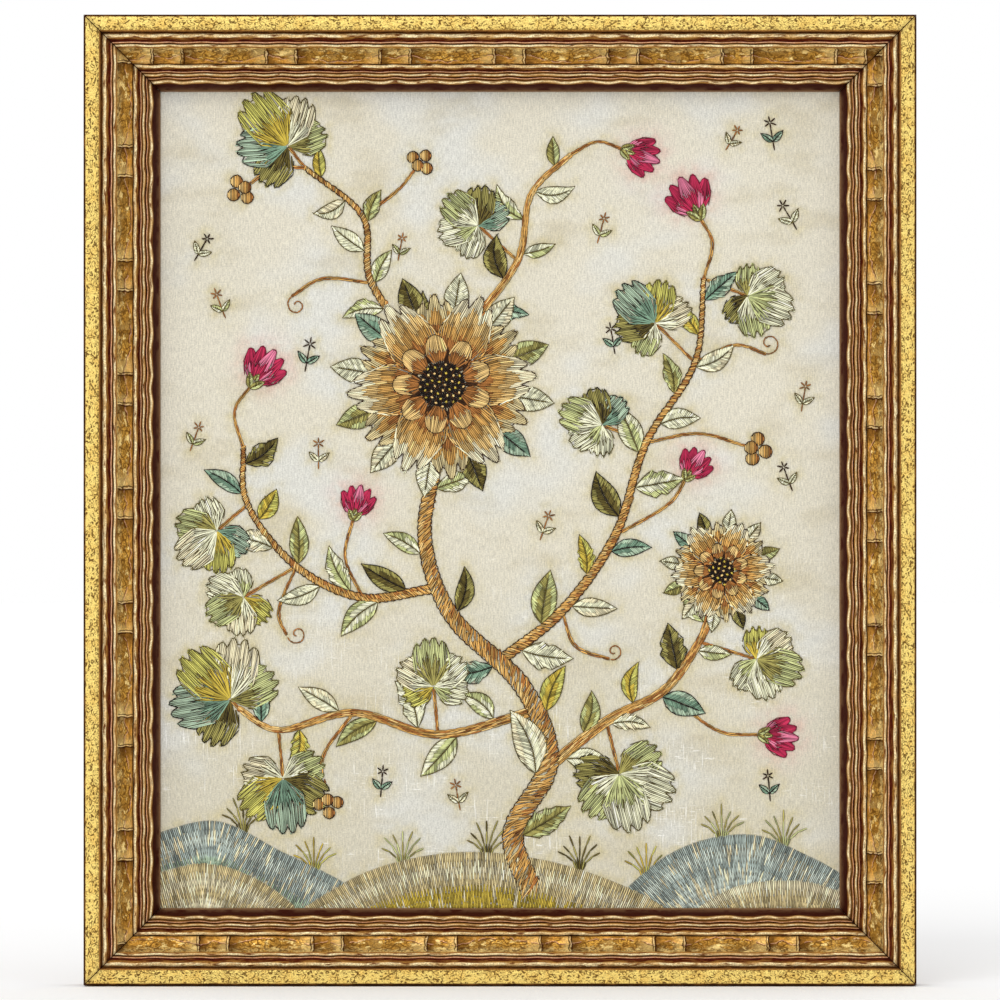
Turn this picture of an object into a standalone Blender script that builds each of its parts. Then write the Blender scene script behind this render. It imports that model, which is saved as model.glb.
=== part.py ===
"""Framed silk embroidery picture: four mitred rails of gilt ripple moulding round a stretched silk.

The picture stands upright in the XZ plane and faces -Y. Its back lies in the plane y = 0. The origin
is where it hangs: the middle of the top rail's flat back.
"""

import math
from collections import namedtuple

import bmesh
import bpy
from mathutils import Vector

MM = 0.001

# Driving sizes of the frame, seen from the front
SIGHT_WIDTH = 306.5 * MM
SIGHT_HEIGHT = 368.5 * MM
RAIL_WIDTH = 34.0 * MM
OUTER_WIDTH = SIGHT_WIDTH + 2 * RAIL_WIDTH
OUTER_HEIGHT = SIGHT_HEIGHT + 2 * RAIL_WIDTH

# Rebate at the back of each rail, which holds the silk and its board
REBATE_WIDTH = 6.0 * MM
REBATE_DEPTH = 6.3 * MM

# Clearance between pieces that touch
FIT_GAP = 0.3 * MM

# Silk and board, from front to back
SILK_THICKNESS = 1.0 * MM
BOARD_THICKNESS = 3.0 * MM

# The flat back of the top rail is hung by its middle line
HANG_DROP = (RAIL_WIDTH - REBATE_WIDTH) / 2
PICTURE_CENTRE = Vector((0.0, 0.0, HANG_DROP - OUTER_HEIGHT / 2))

# Ripple of the moulding: a short hollow and two long ones make one repeat. Between two hollows the wood
# stands up in a crest, sharp at both ends of the short hollow and soft between the two long ones.
Hollow = namedtuple("Hollow", "length sharp_start sharp_end")

HOLLOWS = (
    Hollow(13.5 * MM, True, True),
    Hollow(18.9 * MM, True, False),
    Hollow(18.9 * MM, False, True),
)
REPEAT = sum(hollow.length for hollow in HOLLOWS)

# How far each kind of crest stands out of the scoop, as a share of the cup, and how wide a ridge is
RIDGE_CUP = 1.35
RIDGE_FOOT_CUP = 0.83
SOFT_CUP = 0.45
RIDGE_HALF_WIDTH = 0.7 * MM

# A point of the moulding's section, in millimetres: how far in from the outer edge, how high above the
# back, and how far the ripple sways it sideways, swells it, and cups it between two crests
Point = namedtuple("Point", "across height sway swell cup")

OUTER_SIDE = (
    Point(0.0, 0.0, 0, 0, 0),
    Point(0.0, 22.5, 0, 0, 0),
)
FLAT_BAND = (
    Point(0.6, 23.1, 0, 0, 0),
    Point(6.9, 23.2, 0, 0, 0),
)
OUTER_BEADS = (
    Point(7.7, 22.0, 0, 0, 0),
    Point(8.3, 20.6, 0.10, 0.00, 0),
    Point(8.8, 21.0, 0.25, 0.10, 0),
    Point(9.75, 22.1, 0.30, 0.25, 0),
    Point(10.7, 21.0, 0.25, 0.10, 0),
    Point(11.7, 19.9, 0.15, 0.00, 0),
    Point(14.0, 21.1, 0.20, 0.10, 0),
)
SCOOP = (
    Point(14.8, 20.0, 0.10, 0, 0.20),
    Point(16.5, 18.0, 0.00, 0, 0.75),
    Point(18.5, 16.7, 0.00, 0, 0.95),
    Point(20.5, 16.0, 0.00, 0, 0.75),
    Point(21.8, 15.2, 0.20, 0, 0.15),
)
INNER_BEADS = (
    Point(23.3, 17.3, 0.30, 0.25, 0),
    Point(24.9, 14.9, 0.25, 0.00, 0),
    Point(26.9, 16.3, 0.35, 0.25, 0),
    Point(28.1, 14.5, 0.30, 0.00, 0),
    Point(30.0, 16.0, 0.50, 0.25, 0),
    Point(31.0, 14.3, 0.30, 0.00, 0),
)
LIP = (
    Point(33.0, 8.6, 0, 0, 0),
    Point(RAIL_WIDTH / MM, 7.2, 0, 0, 0),
    Point(RAIL_WIDTH / MM, REBATE_DEPTH / MM, 0, 0, 0),
    Point((RAIL_WIDTH - REBATE_WIDTH) / MM, REBATE_DEPTH / MM, 0, 0, 0),
    Point((RAIL_WIDTH - REBATE_WIDTH) / MM, 0.0, 0, 0, 0),
)
SECTION = OUTER_SIDE + FLAT_BAND + OUTER_BEADS + SCOOP + INNER_BEADS + LIP

# A rail's name, its outer length, how far its outer edge lies from the picture's centre, its turn
# about that centre in degrees, and a sharp crest near its middle where a short hollow starts
Rail = namedtuple("Rail", "name length reach turn first_crest")

RAILS = (
    Rail("rail_top", OUTER_WIDTH, OUTER_HEIGHT / 2, 0, -2.6 * MM),
    Rail("rail_right", OUTER_HEIGHT, OUTER_WIDTH / 2, 90, 5.0 * MM),
    Rail("rail_bottom", OUTER_WIDTH, OUTER_HEIGHT / 2, 180, 19.7 * MM),
    Rail("rail_left", OUTER_HEIGHT, OUTER_WIDTH / 2, 270, -8.1 * MM),
)

# Angle under which two faces of a flat side are one, and how far a rail is made too long for its mitres
FLAT_ANGLE = math.radians(0.05)
SPARE_LENGTH = 6.0 * MM


def clear_scene():
    for obj in list(bpy.data.objects):
        bpy.data.objects.remove(obj, do_unlink=True)


def make_material(name, colour, roughness, metallic=0.0):
    material = bpy.data.materials.new(name)
    material.use_nodes = True
    shader = material.node_tree.nodes["Principled BSDF"]
    shader.inputs["Base Color"].default_value = (*colour, 1.0)
    shader.inputs["Roughness"].default_value = roughness
    shader.inputs["Metallic"].default_value = metallic
    return material


def add_object(name, mesh_source, material):
    """Write a bmesh into a new object with one material."""
    bmesh.ops.recalc_face_normals(mesh_source, faces=mesh_source.faces)
    mesh = bpy.data.meshes.new(name)
    mesh_source.to_mesh(mesh)
    mesh_source.free()
    mesh.materials.append(material)
    obj = bpy.data.objects.new(name, mesh)
    bpy.context.scene.collection.objects.link(obj)
    return obj


def stations(rail):
    """Give the places along a rail where its section is set, each with the ripple's wave and cup there.

    The wave is 1 on a crest and -1 in the middle of a hollow. The cup says how far the scoop has come up
    out of its hollow. A sharp crest has a section at each foot of its ridge as well.
    """
    end = rail.length / 2 + SPARE_LENGTH
    repeats = math.ceil(end / REPEAT) + 1
    places = []
    for repeat in range(-repeats, repeats):
        run = rail.first_crest + repeat * REPEAT
        for hollow in HOLLOWS:
            places.append((run, 1.0, RIDGE_CUP if hollow.sharp_start else SOFT_CUP))
            if hollow.sharp_start:
                places.append((run + RIDGE_HALF_WIDTH, 1.0, RIDGE_FOOT_CUP))
            places.append((run + hollow.length / 2, -1.0, 0.0))
            run += hollow.length
            if hollow.sharp_end:
                places.append((run - RIDGE_HALF_WIDTH, 1.0, RIDGE_FOOT_CUP))
    margin = end + HOLLOWS[-1].length / 2
    return [place for place in places if abs(place[0]) < margin]


def cut_mitre(body, rail, side):
    """Cut one end of a rail at 45 degrees, half a gap short of the corner's diagonal."""
    corner = Vector((side * rail.length / 2, 0.0, rail.reach))
    outward = Vector((side, 0.0, -1.0)).normalized()
    cut = bmesh.ops.bisect_plane(
        body,
        geom=body.verts[:] + body.edges[:] + body.faces[:],
        dist=1e-7,
        plane_co=corner - outward * FIT_GAP / 2,
        plane_no=outward,
        clear_outer=True,
    )
    rim = [item for item in cut["geom_cut"] if isinstance(item, bmesh.types.BMEdge)]
    bmesh.ops.edgeloop_fill(body, edges=rim)


def build_rail(rail, material):
    """Sweep the section along a rail with its ripple, then mitre both ends."""
    body = bmesh.new()
    rings = []
    for run, wave, cup in stations(rail):
        ring = []
        for point in SECTION:
            across = (point.across + point.sway * wave) * MM
            height = (point.height + point.swell * wave + point.cup * cup) * MM
            ring.append(body.verts.new((run, -height, rail.reach - across)))
        rings.append(ring)
    for ring, next_ring in zip(rings, rings[1:]):
        for index, vertex in enumerate(ring):
            before = index - 1
            body.faces.new((ring[before], vertex, next_ring[index], next_ring[before]))
    for side in (-1, 1):
        cut_mitre(body, rail, side)
    bmesh.ops.dissolve_limit(body, angle_limit=FLAT_ANGLE, verts=body.verts, edges=body.edges)
    obj = add_object(rail.name, body, material)
    obj.location = PICTURE_CENTRE
    obj.rotation_euler.y = math.radians(rail.turn)
    return obj


def build_panel(name, front, thickness, material):
    """Make a flat panel that fills the rebate, with its front face at a height above the back."""
    width = OUTER_WIDTH - 2 * (RAIL_WIDTH - REBATE_WIDTH + FIT_GAP)
    height = OUTER_HEIGHT - 2 * (RAIL_WIDTH - REBATE_WIDTH + FIT_GAP)
    body = bmesh.new()
    bmesh.ops.create_cube(body, size=1.0)
    bmesh.ops.scale(body, vec=(width, thickness, height), verts=body.verts)
    obj = add_object(name, body, material)
    obj.location = PICTURE_CENTRE + Vector((0.0, thickness / 2 - front, 0.0))
    return obj


def main():
    clear_scene()
    gilt = make_material("gilt wood", (0.62, 0.40, 0.11), 0.38, 0.8)
    silk = make_material("ivory silk", (0.72, 0.68, 0.57), 0.55)
    board = make_material("grey board", (0.30, 0.25, 0.19), 0.85)
    for rail in RAILS:
        build_rail(rail, gilt)
    silk_front = REBATE_DEPTH - FIT_GAP
    board_front = silk_front - SILK_THICKNESS - FIT_GAP
    build_panel("silk_panel", silk_front, SILK_THICKNESS, silk)
    build_panel("backing_board", board_front, BOARD_THICKNESS, board)


main()
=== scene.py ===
"""Framed silk embroidery picture: gilt ripple moulding, stretched silk, and needlework in silk floss.

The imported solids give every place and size. This file makes the surfaces that show: the rails with
their fine beads and cross ridges, the silk with its slubs and stains, and the stitches, one by one.
It is laid out as an add-on and is run as a script.
"""

import cmath
import math
import random
from collections import namedtuple
from functools import lru_cache, partial, reduce

import bmesh
import bpy
import numpy as np
from bpy.props import FloatProperty, FloatVectorProperty, IntProperty, PointerProperty
from mathutils import Matrix, Vector
from mathutils.kdtree import KDTree


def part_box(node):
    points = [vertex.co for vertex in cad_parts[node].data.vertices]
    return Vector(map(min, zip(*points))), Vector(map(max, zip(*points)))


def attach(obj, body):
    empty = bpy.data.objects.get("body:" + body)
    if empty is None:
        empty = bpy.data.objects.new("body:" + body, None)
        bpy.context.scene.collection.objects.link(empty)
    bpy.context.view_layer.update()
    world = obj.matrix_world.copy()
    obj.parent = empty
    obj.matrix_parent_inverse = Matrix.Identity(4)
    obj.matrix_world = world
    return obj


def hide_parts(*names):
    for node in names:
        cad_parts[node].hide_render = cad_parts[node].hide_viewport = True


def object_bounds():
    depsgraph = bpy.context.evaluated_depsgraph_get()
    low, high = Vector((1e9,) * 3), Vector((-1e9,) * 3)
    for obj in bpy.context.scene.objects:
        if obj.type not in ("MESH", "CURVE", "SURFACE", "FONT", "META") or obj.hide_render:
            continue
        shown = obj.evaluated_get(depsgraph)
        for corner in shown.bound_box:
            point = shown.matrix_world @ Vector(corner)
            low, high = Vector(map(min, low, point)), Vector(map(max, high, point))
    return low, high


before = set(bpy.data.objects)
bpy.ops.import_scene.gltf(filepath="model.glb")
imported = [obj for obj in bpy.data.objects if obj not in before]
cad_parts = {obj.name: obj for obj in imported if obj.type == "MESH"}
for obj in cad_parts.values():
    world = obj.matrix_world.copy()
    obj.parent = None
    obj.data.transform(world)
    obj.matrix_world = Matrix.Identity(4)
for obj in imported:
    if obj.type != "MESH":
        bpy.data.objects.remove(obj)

bl_info = {
    "name": "Framed Silk Embroidery Picture",
    "version": (1, 0, 0),
    "blender": (4, 5, 0),
    "location": "View3D > Sidebar > Picture",
    "description": "Makes a silk embroidery picture in a gilt ripple frame around its packed solids",
    "category": "Add Mesh",
}

MM = 0.001
BODY = "root"

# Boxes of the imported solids, in metres
CAD_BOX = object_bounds()
SILK_LOW, SILK_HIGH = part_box("silk_panel")
RAIL_LOW, RAIL_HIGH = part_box("rail_left")
CENTRE = (CAD_BOX[0] + CAD_BOX[1]) / 2
CENTRE.y = 0.0
OUTER_WIDTH = CAD_BOX[1].x - CAD_BOX[0].x
OUTER_HEIGHT = CAD_BOX[1].z - CAD_BOX[0].z
RAIL_WIDTH = RAIL_HIGH.x - RAIL_LOW.x
SILK_FRONT = -SILK_LOW.y
SILK_THICKNESS = SILK_HIGH.y - SILK_LOW.y

# Clearance between solids that touch
FIT_GAP = 0.3 * MM

# Half of the silk that shows inside the frame, in millimetres
SIGHT_X = (OUTER_WIDTH / 2 - RAIL_WIDTH) / MM
SIGHT_Y = (OUTER_HEIGHT / 2 - RAIL_WIDTH) / MM


def linear(text):
    """Turn an sRGB colour such as #C2A63A into linear red, green and blue."""
    shares = [int(text[place:place + 2], 16) / 255 for place in (1, 3, 5)]
    return tuple(c / 12.92 if c <= 0.04045 else ((c + 0.055) / 1.055) ** 2.4 for c in shares)


# Sizes and colours a user would change


def length_setting(name, description, millimetres):
    return FloatProperty(name=name, description=description, default=millimetres * MM, unit="LENGTH")


def share_setting(name, description, default):
    return FloatProperty(
        name=name, description=description, default=default, subtype="FACTOR", min=0, soft_max=1
    )


def colour_setting(name, description, text):
    return FloatVectorProperty(
        name=name, description=description, default=linear(text), subtype="COLOR", size=3, min=0, max=1
    )


class PictureFrameSettings(bpy.types.PropertyGroup):
    """Sizes and colours of the gilt moulding."""

    short_hollow: length_setting("Short hollow", "Length of the hollow between two cross ridges", 13.5)
    long_hollow: length_setting("Long hollow", "Length of each hollow outside the cross ridges", 18.9)
    ridge_half_width: length_setting("Ridge half width", "Half the foot of a cross ridge", 0.55)
    ridge_height: share_setting("Ridge height", "Ridge, as a share of the cup", 0.42)
    soft_crest: share_setting("Soft crest", "Soft crest, as a share of the cup", 0.45)
    unevenness: share_setting("Unevenness", "How far one hollow differs from another", 0.5)
    station_step: length_setting("Station step", "Length of one facet along a rail", 1.35)
    leaf_colour: colour_setting("Leaf", "Gold leaf on the flat band", "#F8DA7E")
    thin_colour: colour_setting("Thin leaf", "Tint of leaf that lies thin in clouds", "#E0B455")
    # Burnished leaf on the beads, painted bright on their crests as a highlight
    bead_leaf_and_highlight_colour: colour_setting("Bead", "Burnished leaf on the beads", "#FFEDBC")
    toned_colour: colour_setting("Toned bead", "Toned stretches of a bead", "#D09A4A")
    bronze_colour: colour_setting("Bronze", "Thin, toned leaf at the foot of a bead", "#9A6830")
    scoop_colour: colour_setting("Scoop", "Rubbed leaf in the scoop", "#D6A246")
    # Bright leaf in the scoop, also painted as glints and as the highlight at one end of each hollow
    bright_leaf_and_highlight_colour: colour_setting("Spark", "Leaf left bright in the scoop", "#FFE092")
    # Umber toning, also painted as shade beside the cross ridges and in one end of each hollow
    umber_and_shade_colour: colour_setting("Umber", "Toning in the scoop's shaded parts", "#4C2806")
    amber_colour: colour_setting("Amber", "Toned leaf at the scoop's inner side", "#DC9C42")
    # Painted highlight on the top of a cross ridge
    ridge_highlight_colour: colour_setting("Ridge", "Leaf on the top of a cross ridge", "#F4D8A0")
    patina_colour: colour_setting("Patina", "Dirt in cracks and rubbed places", "#54340A")
    soot_colour: colour_setting("Soot", "Black dirt on the bare clay", "#1C0601")
    bole_colour: colour_setting("Bole", "Red clay under the leaf", "#551A08")
    # Pink clay on rubbed thin beads, also a painted highlight on the amber's border
    rubbed_clay_and_highlight_colour: colour_setting("Rubbed bead", "Thin beads rubbed through to pink clay", "#FFC6A0")
    # Dark clay, darkened as painted shade in the grooves and beside the cross ridges
    dark_clay_and_shade_colour: colour_setting("Groove", "Dark clay in the grooves", "#2B0D04")
    # Painted shade: the rounded outer edge is painted dark where it turns away from the front
    arris_colour: colour_setting("Arris", "Outer edge rubbed dark by handling", "#3A1E06")
    lip_colour: colour_setting("Lip", "Dark red-brown inner lip", "#3A1208")
    # Edge of the lip beside the silk, also painted over the lip as light falling on it
    lip_foot_and_light_colour: colour_setting("Lip foot", "Dusty edge of the lip beside the silk", "#846446")
    wood_colour: colour_setting("Bare wood", "Wood at the back of the rails", "#B9966A")
    ring_colour: colour_setting("Growth rings", "Darker rings in the bare wood", "#8A6238")


class PictureSilkSettings(bpy.types.PropertyGroup):
    """Sizes and colours of the silk ground."""

    facet: length_setting("Facet", "Size of one facet of the silk", 2.4)
    sag: length_setting("Sag", "How far the stretched silk wanders from flat", 0.16)
    pucker: length_setting("Pucker", "How far stitches draw the silk in", 0.14)
    ground_colour: colour_setting("Ground", "Ivory silk", "#E0DAC8")
    aged_colour: colour_setting("Aged", "Greyer, greener silk low in the picture", "#CFC9B4")
    stain_colour: colour_setting("Stain", "Brown age stains", "#BDB08C")
    halo_colour: colour_setting("Halo", "Yellowed silk round the floss", "#C9BB84")
    cool_colour: colour_setting("Cool", "Bleached, greyer silk", "#D9DBD8")
    worn_colour: colour_setting("Worn", "Worn pale threads", "#FBFAF4")
    bleed_colour: colour_setting("Bleed", "Dye that has run from the crimson floss", "#DDB2B8")


class PictureFlossSettings(bpy.types.PropertyGroup):
    """Size and colours of the silk floss."""

    girth: length_setting("Girth", "Width of one laid strand of floss", 0.94)
    flatness: share_setting("Flatness", "A strand's height as a share of its width", 0.5)
    proud: length_setting("Proud", "How far the middle of a stitch rises", 0.16)
    points: IntProperty(name="Points", description="Sections along one stitch", default=4, min=3)
    sides: IntProperty(name="Sides", description="Sides round one strand", default=4, min=4)
    ochre: colour_setting("Ochre", "Main colour of the stems", "#D4A45A")
    honey: colour_setting("Honey", "Light stems and petals", "#EAC682")
    rust: colour_setting("Rust", "Shaded stems and petals", "#AE733A")
    brown: colour_setting("Brown", "Dark edge of stems and petals", "#3C220C")
    tan: colour_setting("Tan", "Petal tips and hillocks", "#DCCB98")
    straw: colour_setting("Straw", "Palest petals and hillocks", "#F6ECC6")
    sage: colour_setting("Sage", "Leaf", "#C8CE90")
    olive: colour_setting("Olive", "Leaf", "#A49C58")
    moss: colour_setting("Moss", "Dark leaf and veins", "#665A2A")
    teal: colour_setting("Teal", "Blue leaf", "#7E9E86")
    sea: colour_setting("Sea", "Faded blue leaf", "#AEC4AA")
    lime: colour_setting("Lime", "Yellow-green leaf", "#CECA6A")
    mustard: colour_setting("Mustard", "Yellow leaf", "#CEB64A")
    pale: colour_setting("Pale", "Bleached leaf", "#F0F0CE")
    crimson: colour_setting("Crimson", "Blossom", "#B62C50")
    rose: colour_setting("Rose", "Faded blossom", "#E07E9C")
    wine: colour_setting("Wine", "Outline of a blossom", "#7A1436")
    ink: colour_setting("Ink", "Nearly black brown", "#211713")
    slate: colour_setting("Slate", "Grey-blue hillock", "#A8B6B0")
    mist: colour_setting("Mist", "Palest grey-blue", "#C8D4CA")


class PictureBoardSettings(bpy.types.PropertyGroup):
    """Colours of the board behind the silk."""

    pulp_colour: colour_setting("Pulp", "Brown pulp", "#7C6547")
    fibre_colour: colour_setting("Fibre", "Paler fibres in the pulp", "#A1875F")
    foxed_colour: colour_setting("Foxed", "Faint darker patches", "#5F4A31")


class PictureStageSettings(bpy.types.PropertyGroup):
    """Floor, camera and light."""

    floor_colour: colour_setting("Floor", "White painted floor", "#FFFFFF")
    lens: FloatProperty(name="Lens", description="Focal length in millimetres", default=300.0)
    view_width: length_setting("View width", "Width of the view at the frame's front", 449.5)
    key_size: FloatProperty(
        name="Key size", description="Angle the key light fills", default=math.radians(34), subtype="ANGLE"
    )
    key_strength: share_setting("Key light", "Light from the upper left, soft", 0.9)
    sky_low: share_setting("Sky, low", "Strength of the surround at eye level", 0.68)
    sky_high: share_setting("Sky, high", "Strength of the surround overhead", 0.98)


# Making nodes and meshes


def connect(tree, node, inputs):
    """Set or link the inputs of a node, by name or by number. Sockets that are switched off don't count."""
    for key, value in inputs.items():
        if isinstance(value, tuple) and isinstance(value[0], str):
            value = add_node(tree, value)
        if isinstance(value, bpy.types.Node):
            value = next(output for output in value.outputs if output.enabled)
        if isinstance(key, str):
            socket = next(item for item in node.inputs if item.enabled and item.name == key)
        else:
            socket = node.inputs[key]
        if isinstance(value, bpy.types.NodeSocket):
            tree.links.new(value, socket)
        elif socket.type == "RGBA":
            socket.default_value = (*value, 1.0)
        else:
            socket.default_value = value


def add_node(tree, kind, settings=None, inputs=None):
    """Add a node with its settings and its inputs. A node that stands for an input gives its first output.

    A formula such as ("MULTIPLY", wave, 2.0) can stand for the kind or for an input, and its values can
    be formulas too. Its first word is an operation of the math node, or SMOOTHSTEP, which rises smoothly
    from 0 to 1 while its first value goes from the second to the third.
    """
    if isinstance(kind, tuple):
        smooth = kind[0] == "SMOOTHSTEP"
        settings = {"interpolation_type" if smooth else "operation": kind[0]}
        inputs = dict(enumerate(kind[1:]))
        kind = "ShaderNodeMapRange" if smooth else "ShaderNodeMath"
    node = tree.nodes.new(kind)
    for name, value in (settings or {}).items():
        setattr(node, name, value)
    connect(tree, node, inputs or {})
    return node


def overlap(*masks):
    """The formula of the part where all masks meet. A number stands for a share of it."""
    return reduce(lambda first, second: ("MULTIPLY", first, second), masks)


def rest(mask, share=1.0):
    """The formula of what is left of 1 when a share of a mask is taken off."""
    return "MULTIPLY_ADD", mask, -share, 1.0


def lay_coats(tree, colour, coats):
    """Lay coats over a colour, each where all its masks meet. A coat is its own colour, then its masks."""
    for coat, *masks in coats:
        colour = add_node(tree, "ShaderNodeMix", {"data_type": "RGBA"}, {
            "Factor": overlap(*masks), "A": colour, "B": coat,
        })
    return colour


def mottle(tree, place, size, detail=2.0, stretch=(1.0, 1.0, 1.0), turn=0.0, roughness=0.5):
    """Make a mottled pattern with patches of a size in metres, scaled and turned in each direction."""
    vector = add_node(tree, "ShaderNodeMapping", None, {
        "Vector": place, "Rotation": (0.0, 0.0, turn), "Scale": stretch,
    })
    return add_node(tree, "ShaderNodeTexNoise", None, {
        "Vector": vector, "Scale": 1 / size, "Detail": detail, "Roughness": roughness,
    })


def start_material(name):
    """Start a node material, and return it with its tree and its shader."""
    material = bpy.data.materials.new(name)
    material.use_nodes = True
    return material, material.node_tree, material.node_tree.nodes["Principled BSDF"]


def start_tree(name, inputs):
    """Start a geometry node tree, and return it with its inputs: a geometry and the ones that are named."""
    tree = bpy.data.node_groups.new(name, "GeometryNodeTree")
    tree.interface.new_socket("Geometry", in_out="INPUT", socket_type="NodeSocketGeometry")
    tree.interface.new_socket("Geometry", in_out="OUTPUT", socket_type="NodeSocketGeometry")
    for label, kind in inputs:
        tree.interface.new_socket(label, in_out="INPUT", socket_type="NodeSocket" + kind)
    return tree, add_node(tree, "NodeGroupInput").outputs


def bake_tree(obj, tree, values):
    """Run a geometry node tree on an object and return the result as a plain mesh."""
    modifier = obj.modifiers.new(tree.name, "NODES")
    modifier.node_group = tree
    for item in tree.interface.items_tree:
        if item.item_type == "SOCKET" and item.name in values:
            modifier[item.identifier] = values[item.name]
    depsgraph = bpy.context.evaluated_depsgraph_get()
    mesh = bpy.data.meshes.new_from_object(obj.evaluated_get(depsgraph), depsgraph=depsgraph)
    obj.modifiers.remove(modifier)
    return mesh


def add_piece(name, mesh, materials=()):
    """Put a finished mesh in the scene as a piece of the picture."""
    mesh.name = name
    for material in materials:
        mesh.materials.append(material)
    obj = bpy.data.objects.new(name, mesh)
    bpy.context.scene.collection.objects.link(obj)
    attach(obj, BODY)
    return obj


def store(mesh, name, kind, values):
    """Write a value for each point of a mesh."""
    attribute = mesh.attributes.new(name, kind, "POINT")
    key = {"FLOAT": "value", "FLOAT_VECTOR": "vector", "FLOAT_COLOR": "color"}[kind]
    attribute.data.foreach_set(key, np.asarray(values, np.float32).ravel())


def temporary_object(name, points, edges):
    mesh = bpy.data.meshes.new(name)
    mesh.from_pydata(points, edges, [])
    obj = bpy.data.objects.new(name, mesh)
    bpy.context.scene.collection.objects.link(obj)
    return obj


def remove_object(obj):
    mesh = obj.data
    bpy.data.objects.remove(obj)
    bpy.data.meshes.remove(mesh)


# Gilt rails

# One stretch of the moulding's section, up to its end point in millimetres: how far in from the outer
# edge and how high above the back, how far it bulges out of a straight line, its number of steps, how
# far the ripple sways, swells and cups it, and its finish
Stretch = namedtuple("Stretch", "across height bulge steps sway swell cup finish")

RAIL_ACROSS = RAIL_WIDTH / MM
REBATE_ACROSS = (CAD_BOX[1].x - SILK_HIGH.x) / MM - FIT_GAP / MM
REBATE_HEIGHT = (SILK_FRONT + FIT_GAP) / MM

SECTION = (
    Stretch(0.0, 22.3, 0.0, 2, 0, 0, 0, "side"),
    Stretch(0.8, 23.05, 0.15, 3, 0, 0, 0, "arris"),
    Stretch(1.05, 23.1, 0.0, 1, 0, 0, 0, "band"),
    Stretch(6.7, 23.2, 0.0, 3, 0, 0, 0, "band"),
    Stretch(7.5, 22.7, 0.15, 2, 0, 0, 0, "bronze"),
    Stretch(7.95, 21.2, 0.0, 2, 0.05, 0, 0, "groove"),
    Stretch(8.45, 20.7, -0.1, 1, 0.1, 0, 0, "bronze"),
    Stretch(11.0, 20.8, 1.4, 8, 0.18, 0.28, 0, "bead"),
    Stretch(12.1, 20.0, -0.35, 3, 0.16, 0.05, 0, "bole"),
    Stretch(12.95, 20.1, 0.55, 4, 0.15, 0.08, 0, "rubbed"),
    Stretch(13.3, 20.0, -0.15, 1, 0.15, 0.08, 0, "groove"),
    Stretch(14.75, 20.2, 0.85, 6, 0.16, 0.1, 0.1, "fine_bead"),
    Stretch(21.6, 15.6, -1.2, 12, 0.0, 0, 1.0, "scoop"),
    Stretch(22.15, 14.9, -0.1, 2, 0.14, 0, 0, "groove"),
    Stretch(24.45, 15.1, 2.1, 8, 0.2, 0.3, 0, "bead"),
    Stretch(25.2, 14.7, -0.35, 3, 0.18, 0.05, 0, "bole"),
    Stretch(26.0, 14.9, 0.75, 4, 0.2, 0.1, 0, "rubbed"),
    Stretch(26.3, 14.7, 0.0, 1, 0.2, 0.1, 0, "bronze"),
    Stretch(27.5, 14.8, 1.4, 6, 0.22, 0.25, 0, "fine_bead"),
    Stretch(28.1, 14.3, -0.3, 2, 0.22, 0.05, 0, "groove"),
    Stretch(28.95, 14.7, 0.65, 4, 0.28, 0.1, 0, "rubbed"),
    Stretch(29.3, 14.5, -0.1, 1, 0.3, 0.1, 0, "bronze"),
    Stretch(30.7, 14.4, 1.5, 6, 0.4, 0.25, 0, "fine_bead"),
    Stretch(31.1, 13.4, 0.0, 2, 0.25, 0, 0, "lip"),
    Stretch(33.2, 8.4, -0.15, 3, 0, 0, 0, "lip"),
    Stretch(RAIL_ACROSS, 7.2, 0.15, 2, 0, 0, 0, "foot"),
    Stretch(RAIL_ACROSS, REBATE_HEIGHT, 0.0, 1, 0, 0, 0, "foot"),
    Stretch(REBATE_ACROSS, REBATE_HEIGHT, 0.0, 1, 0, 0, 0, "wood"),
    Stretch(REBATE_ACROSS, 0.0, 0.0, 1, 0, 0, 0, "wood"),
    Stretch(0.0, 0.0, 0.0, 2, 0, 0, 0, "wood"),
)

# How far in from the outer edge the inner lip starts, and how deep the scoop's hollows are cupped
LIP_START = 30.8
CUP_DEPTH = 0.95

# The power that fills out the arch of a bead
BEAD_ROUNDNESS = 0.62

# The leaf on a bead, with its painted highlight, is whole a little outside the bead's middle, by this factor
HIGHLIGHT_LEAN = 1.22

# Where the leaf and its painted highlight start up a bead's side and how soon they are whole, as shares of
# the bead's height
GILT_AND_HIGHLIGHT_START = 0.14
GILT_AND_HIGHLIGHT_SPAN = 0.4

# How a finish looks: its colour setting on a crest and at its foot, how much leaf is left, how dirty,
# and how far it is a scoop
Finish = namedtuple("Finish", "colour foot leaf dirt scoop")

FINISHES = {
    "side": Finish("patina_colour", "patina_colour", 0.3, 0.6, 0.0),
    "arris": Finish("arris_colour", "arris_colour", 0.0, 0.0, 0.0),
    "band": Finish("leaf_colour", "leaf_colour", 1.0, 1.0, 0.0),
    "rubbed": Finish("rubbed_clay_and_highlight_colour", "dark_clay_and_shade_colour", 0.35, 0.25, 0.0),
    "groove": Finish("dark_clay_and_shade_colour", "dark_clay_and_shade_colour", 0.0, 0.0, 0.0),
    "bronze": Finish("bronze_colour", "bronze_colour", 0.3, 0.4, 0.0),
    "bead": Finish("bead_leaf_and_highlight_colour", "bole_colour", 1.0, 0.4, 0.0),
    "fine_bead": Finish("bead_leaf_and_highlight_colour", "bronze_colour", 1.0, 0.3, 0.0),
    "bole": Finish("bole_colour", "bole_colour", 0.0, 0.0, 0.0),
    "scoop": Finish("scoop_colour", "scoop_colour", 1.0, 0.35, 1.0),
    "lip": Finish("lip_colour", "lip_colour", 0.0, 0.0, 0.0),
    "foot": Finish("lip_foot_and_light_colour", "lip_foot_and_light_colour", 0.0, 0.0, 0.0),
    "wood": Finish("wood_colour", "wood_colour", 0.0, 0.0, 0.0),
}

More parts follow.
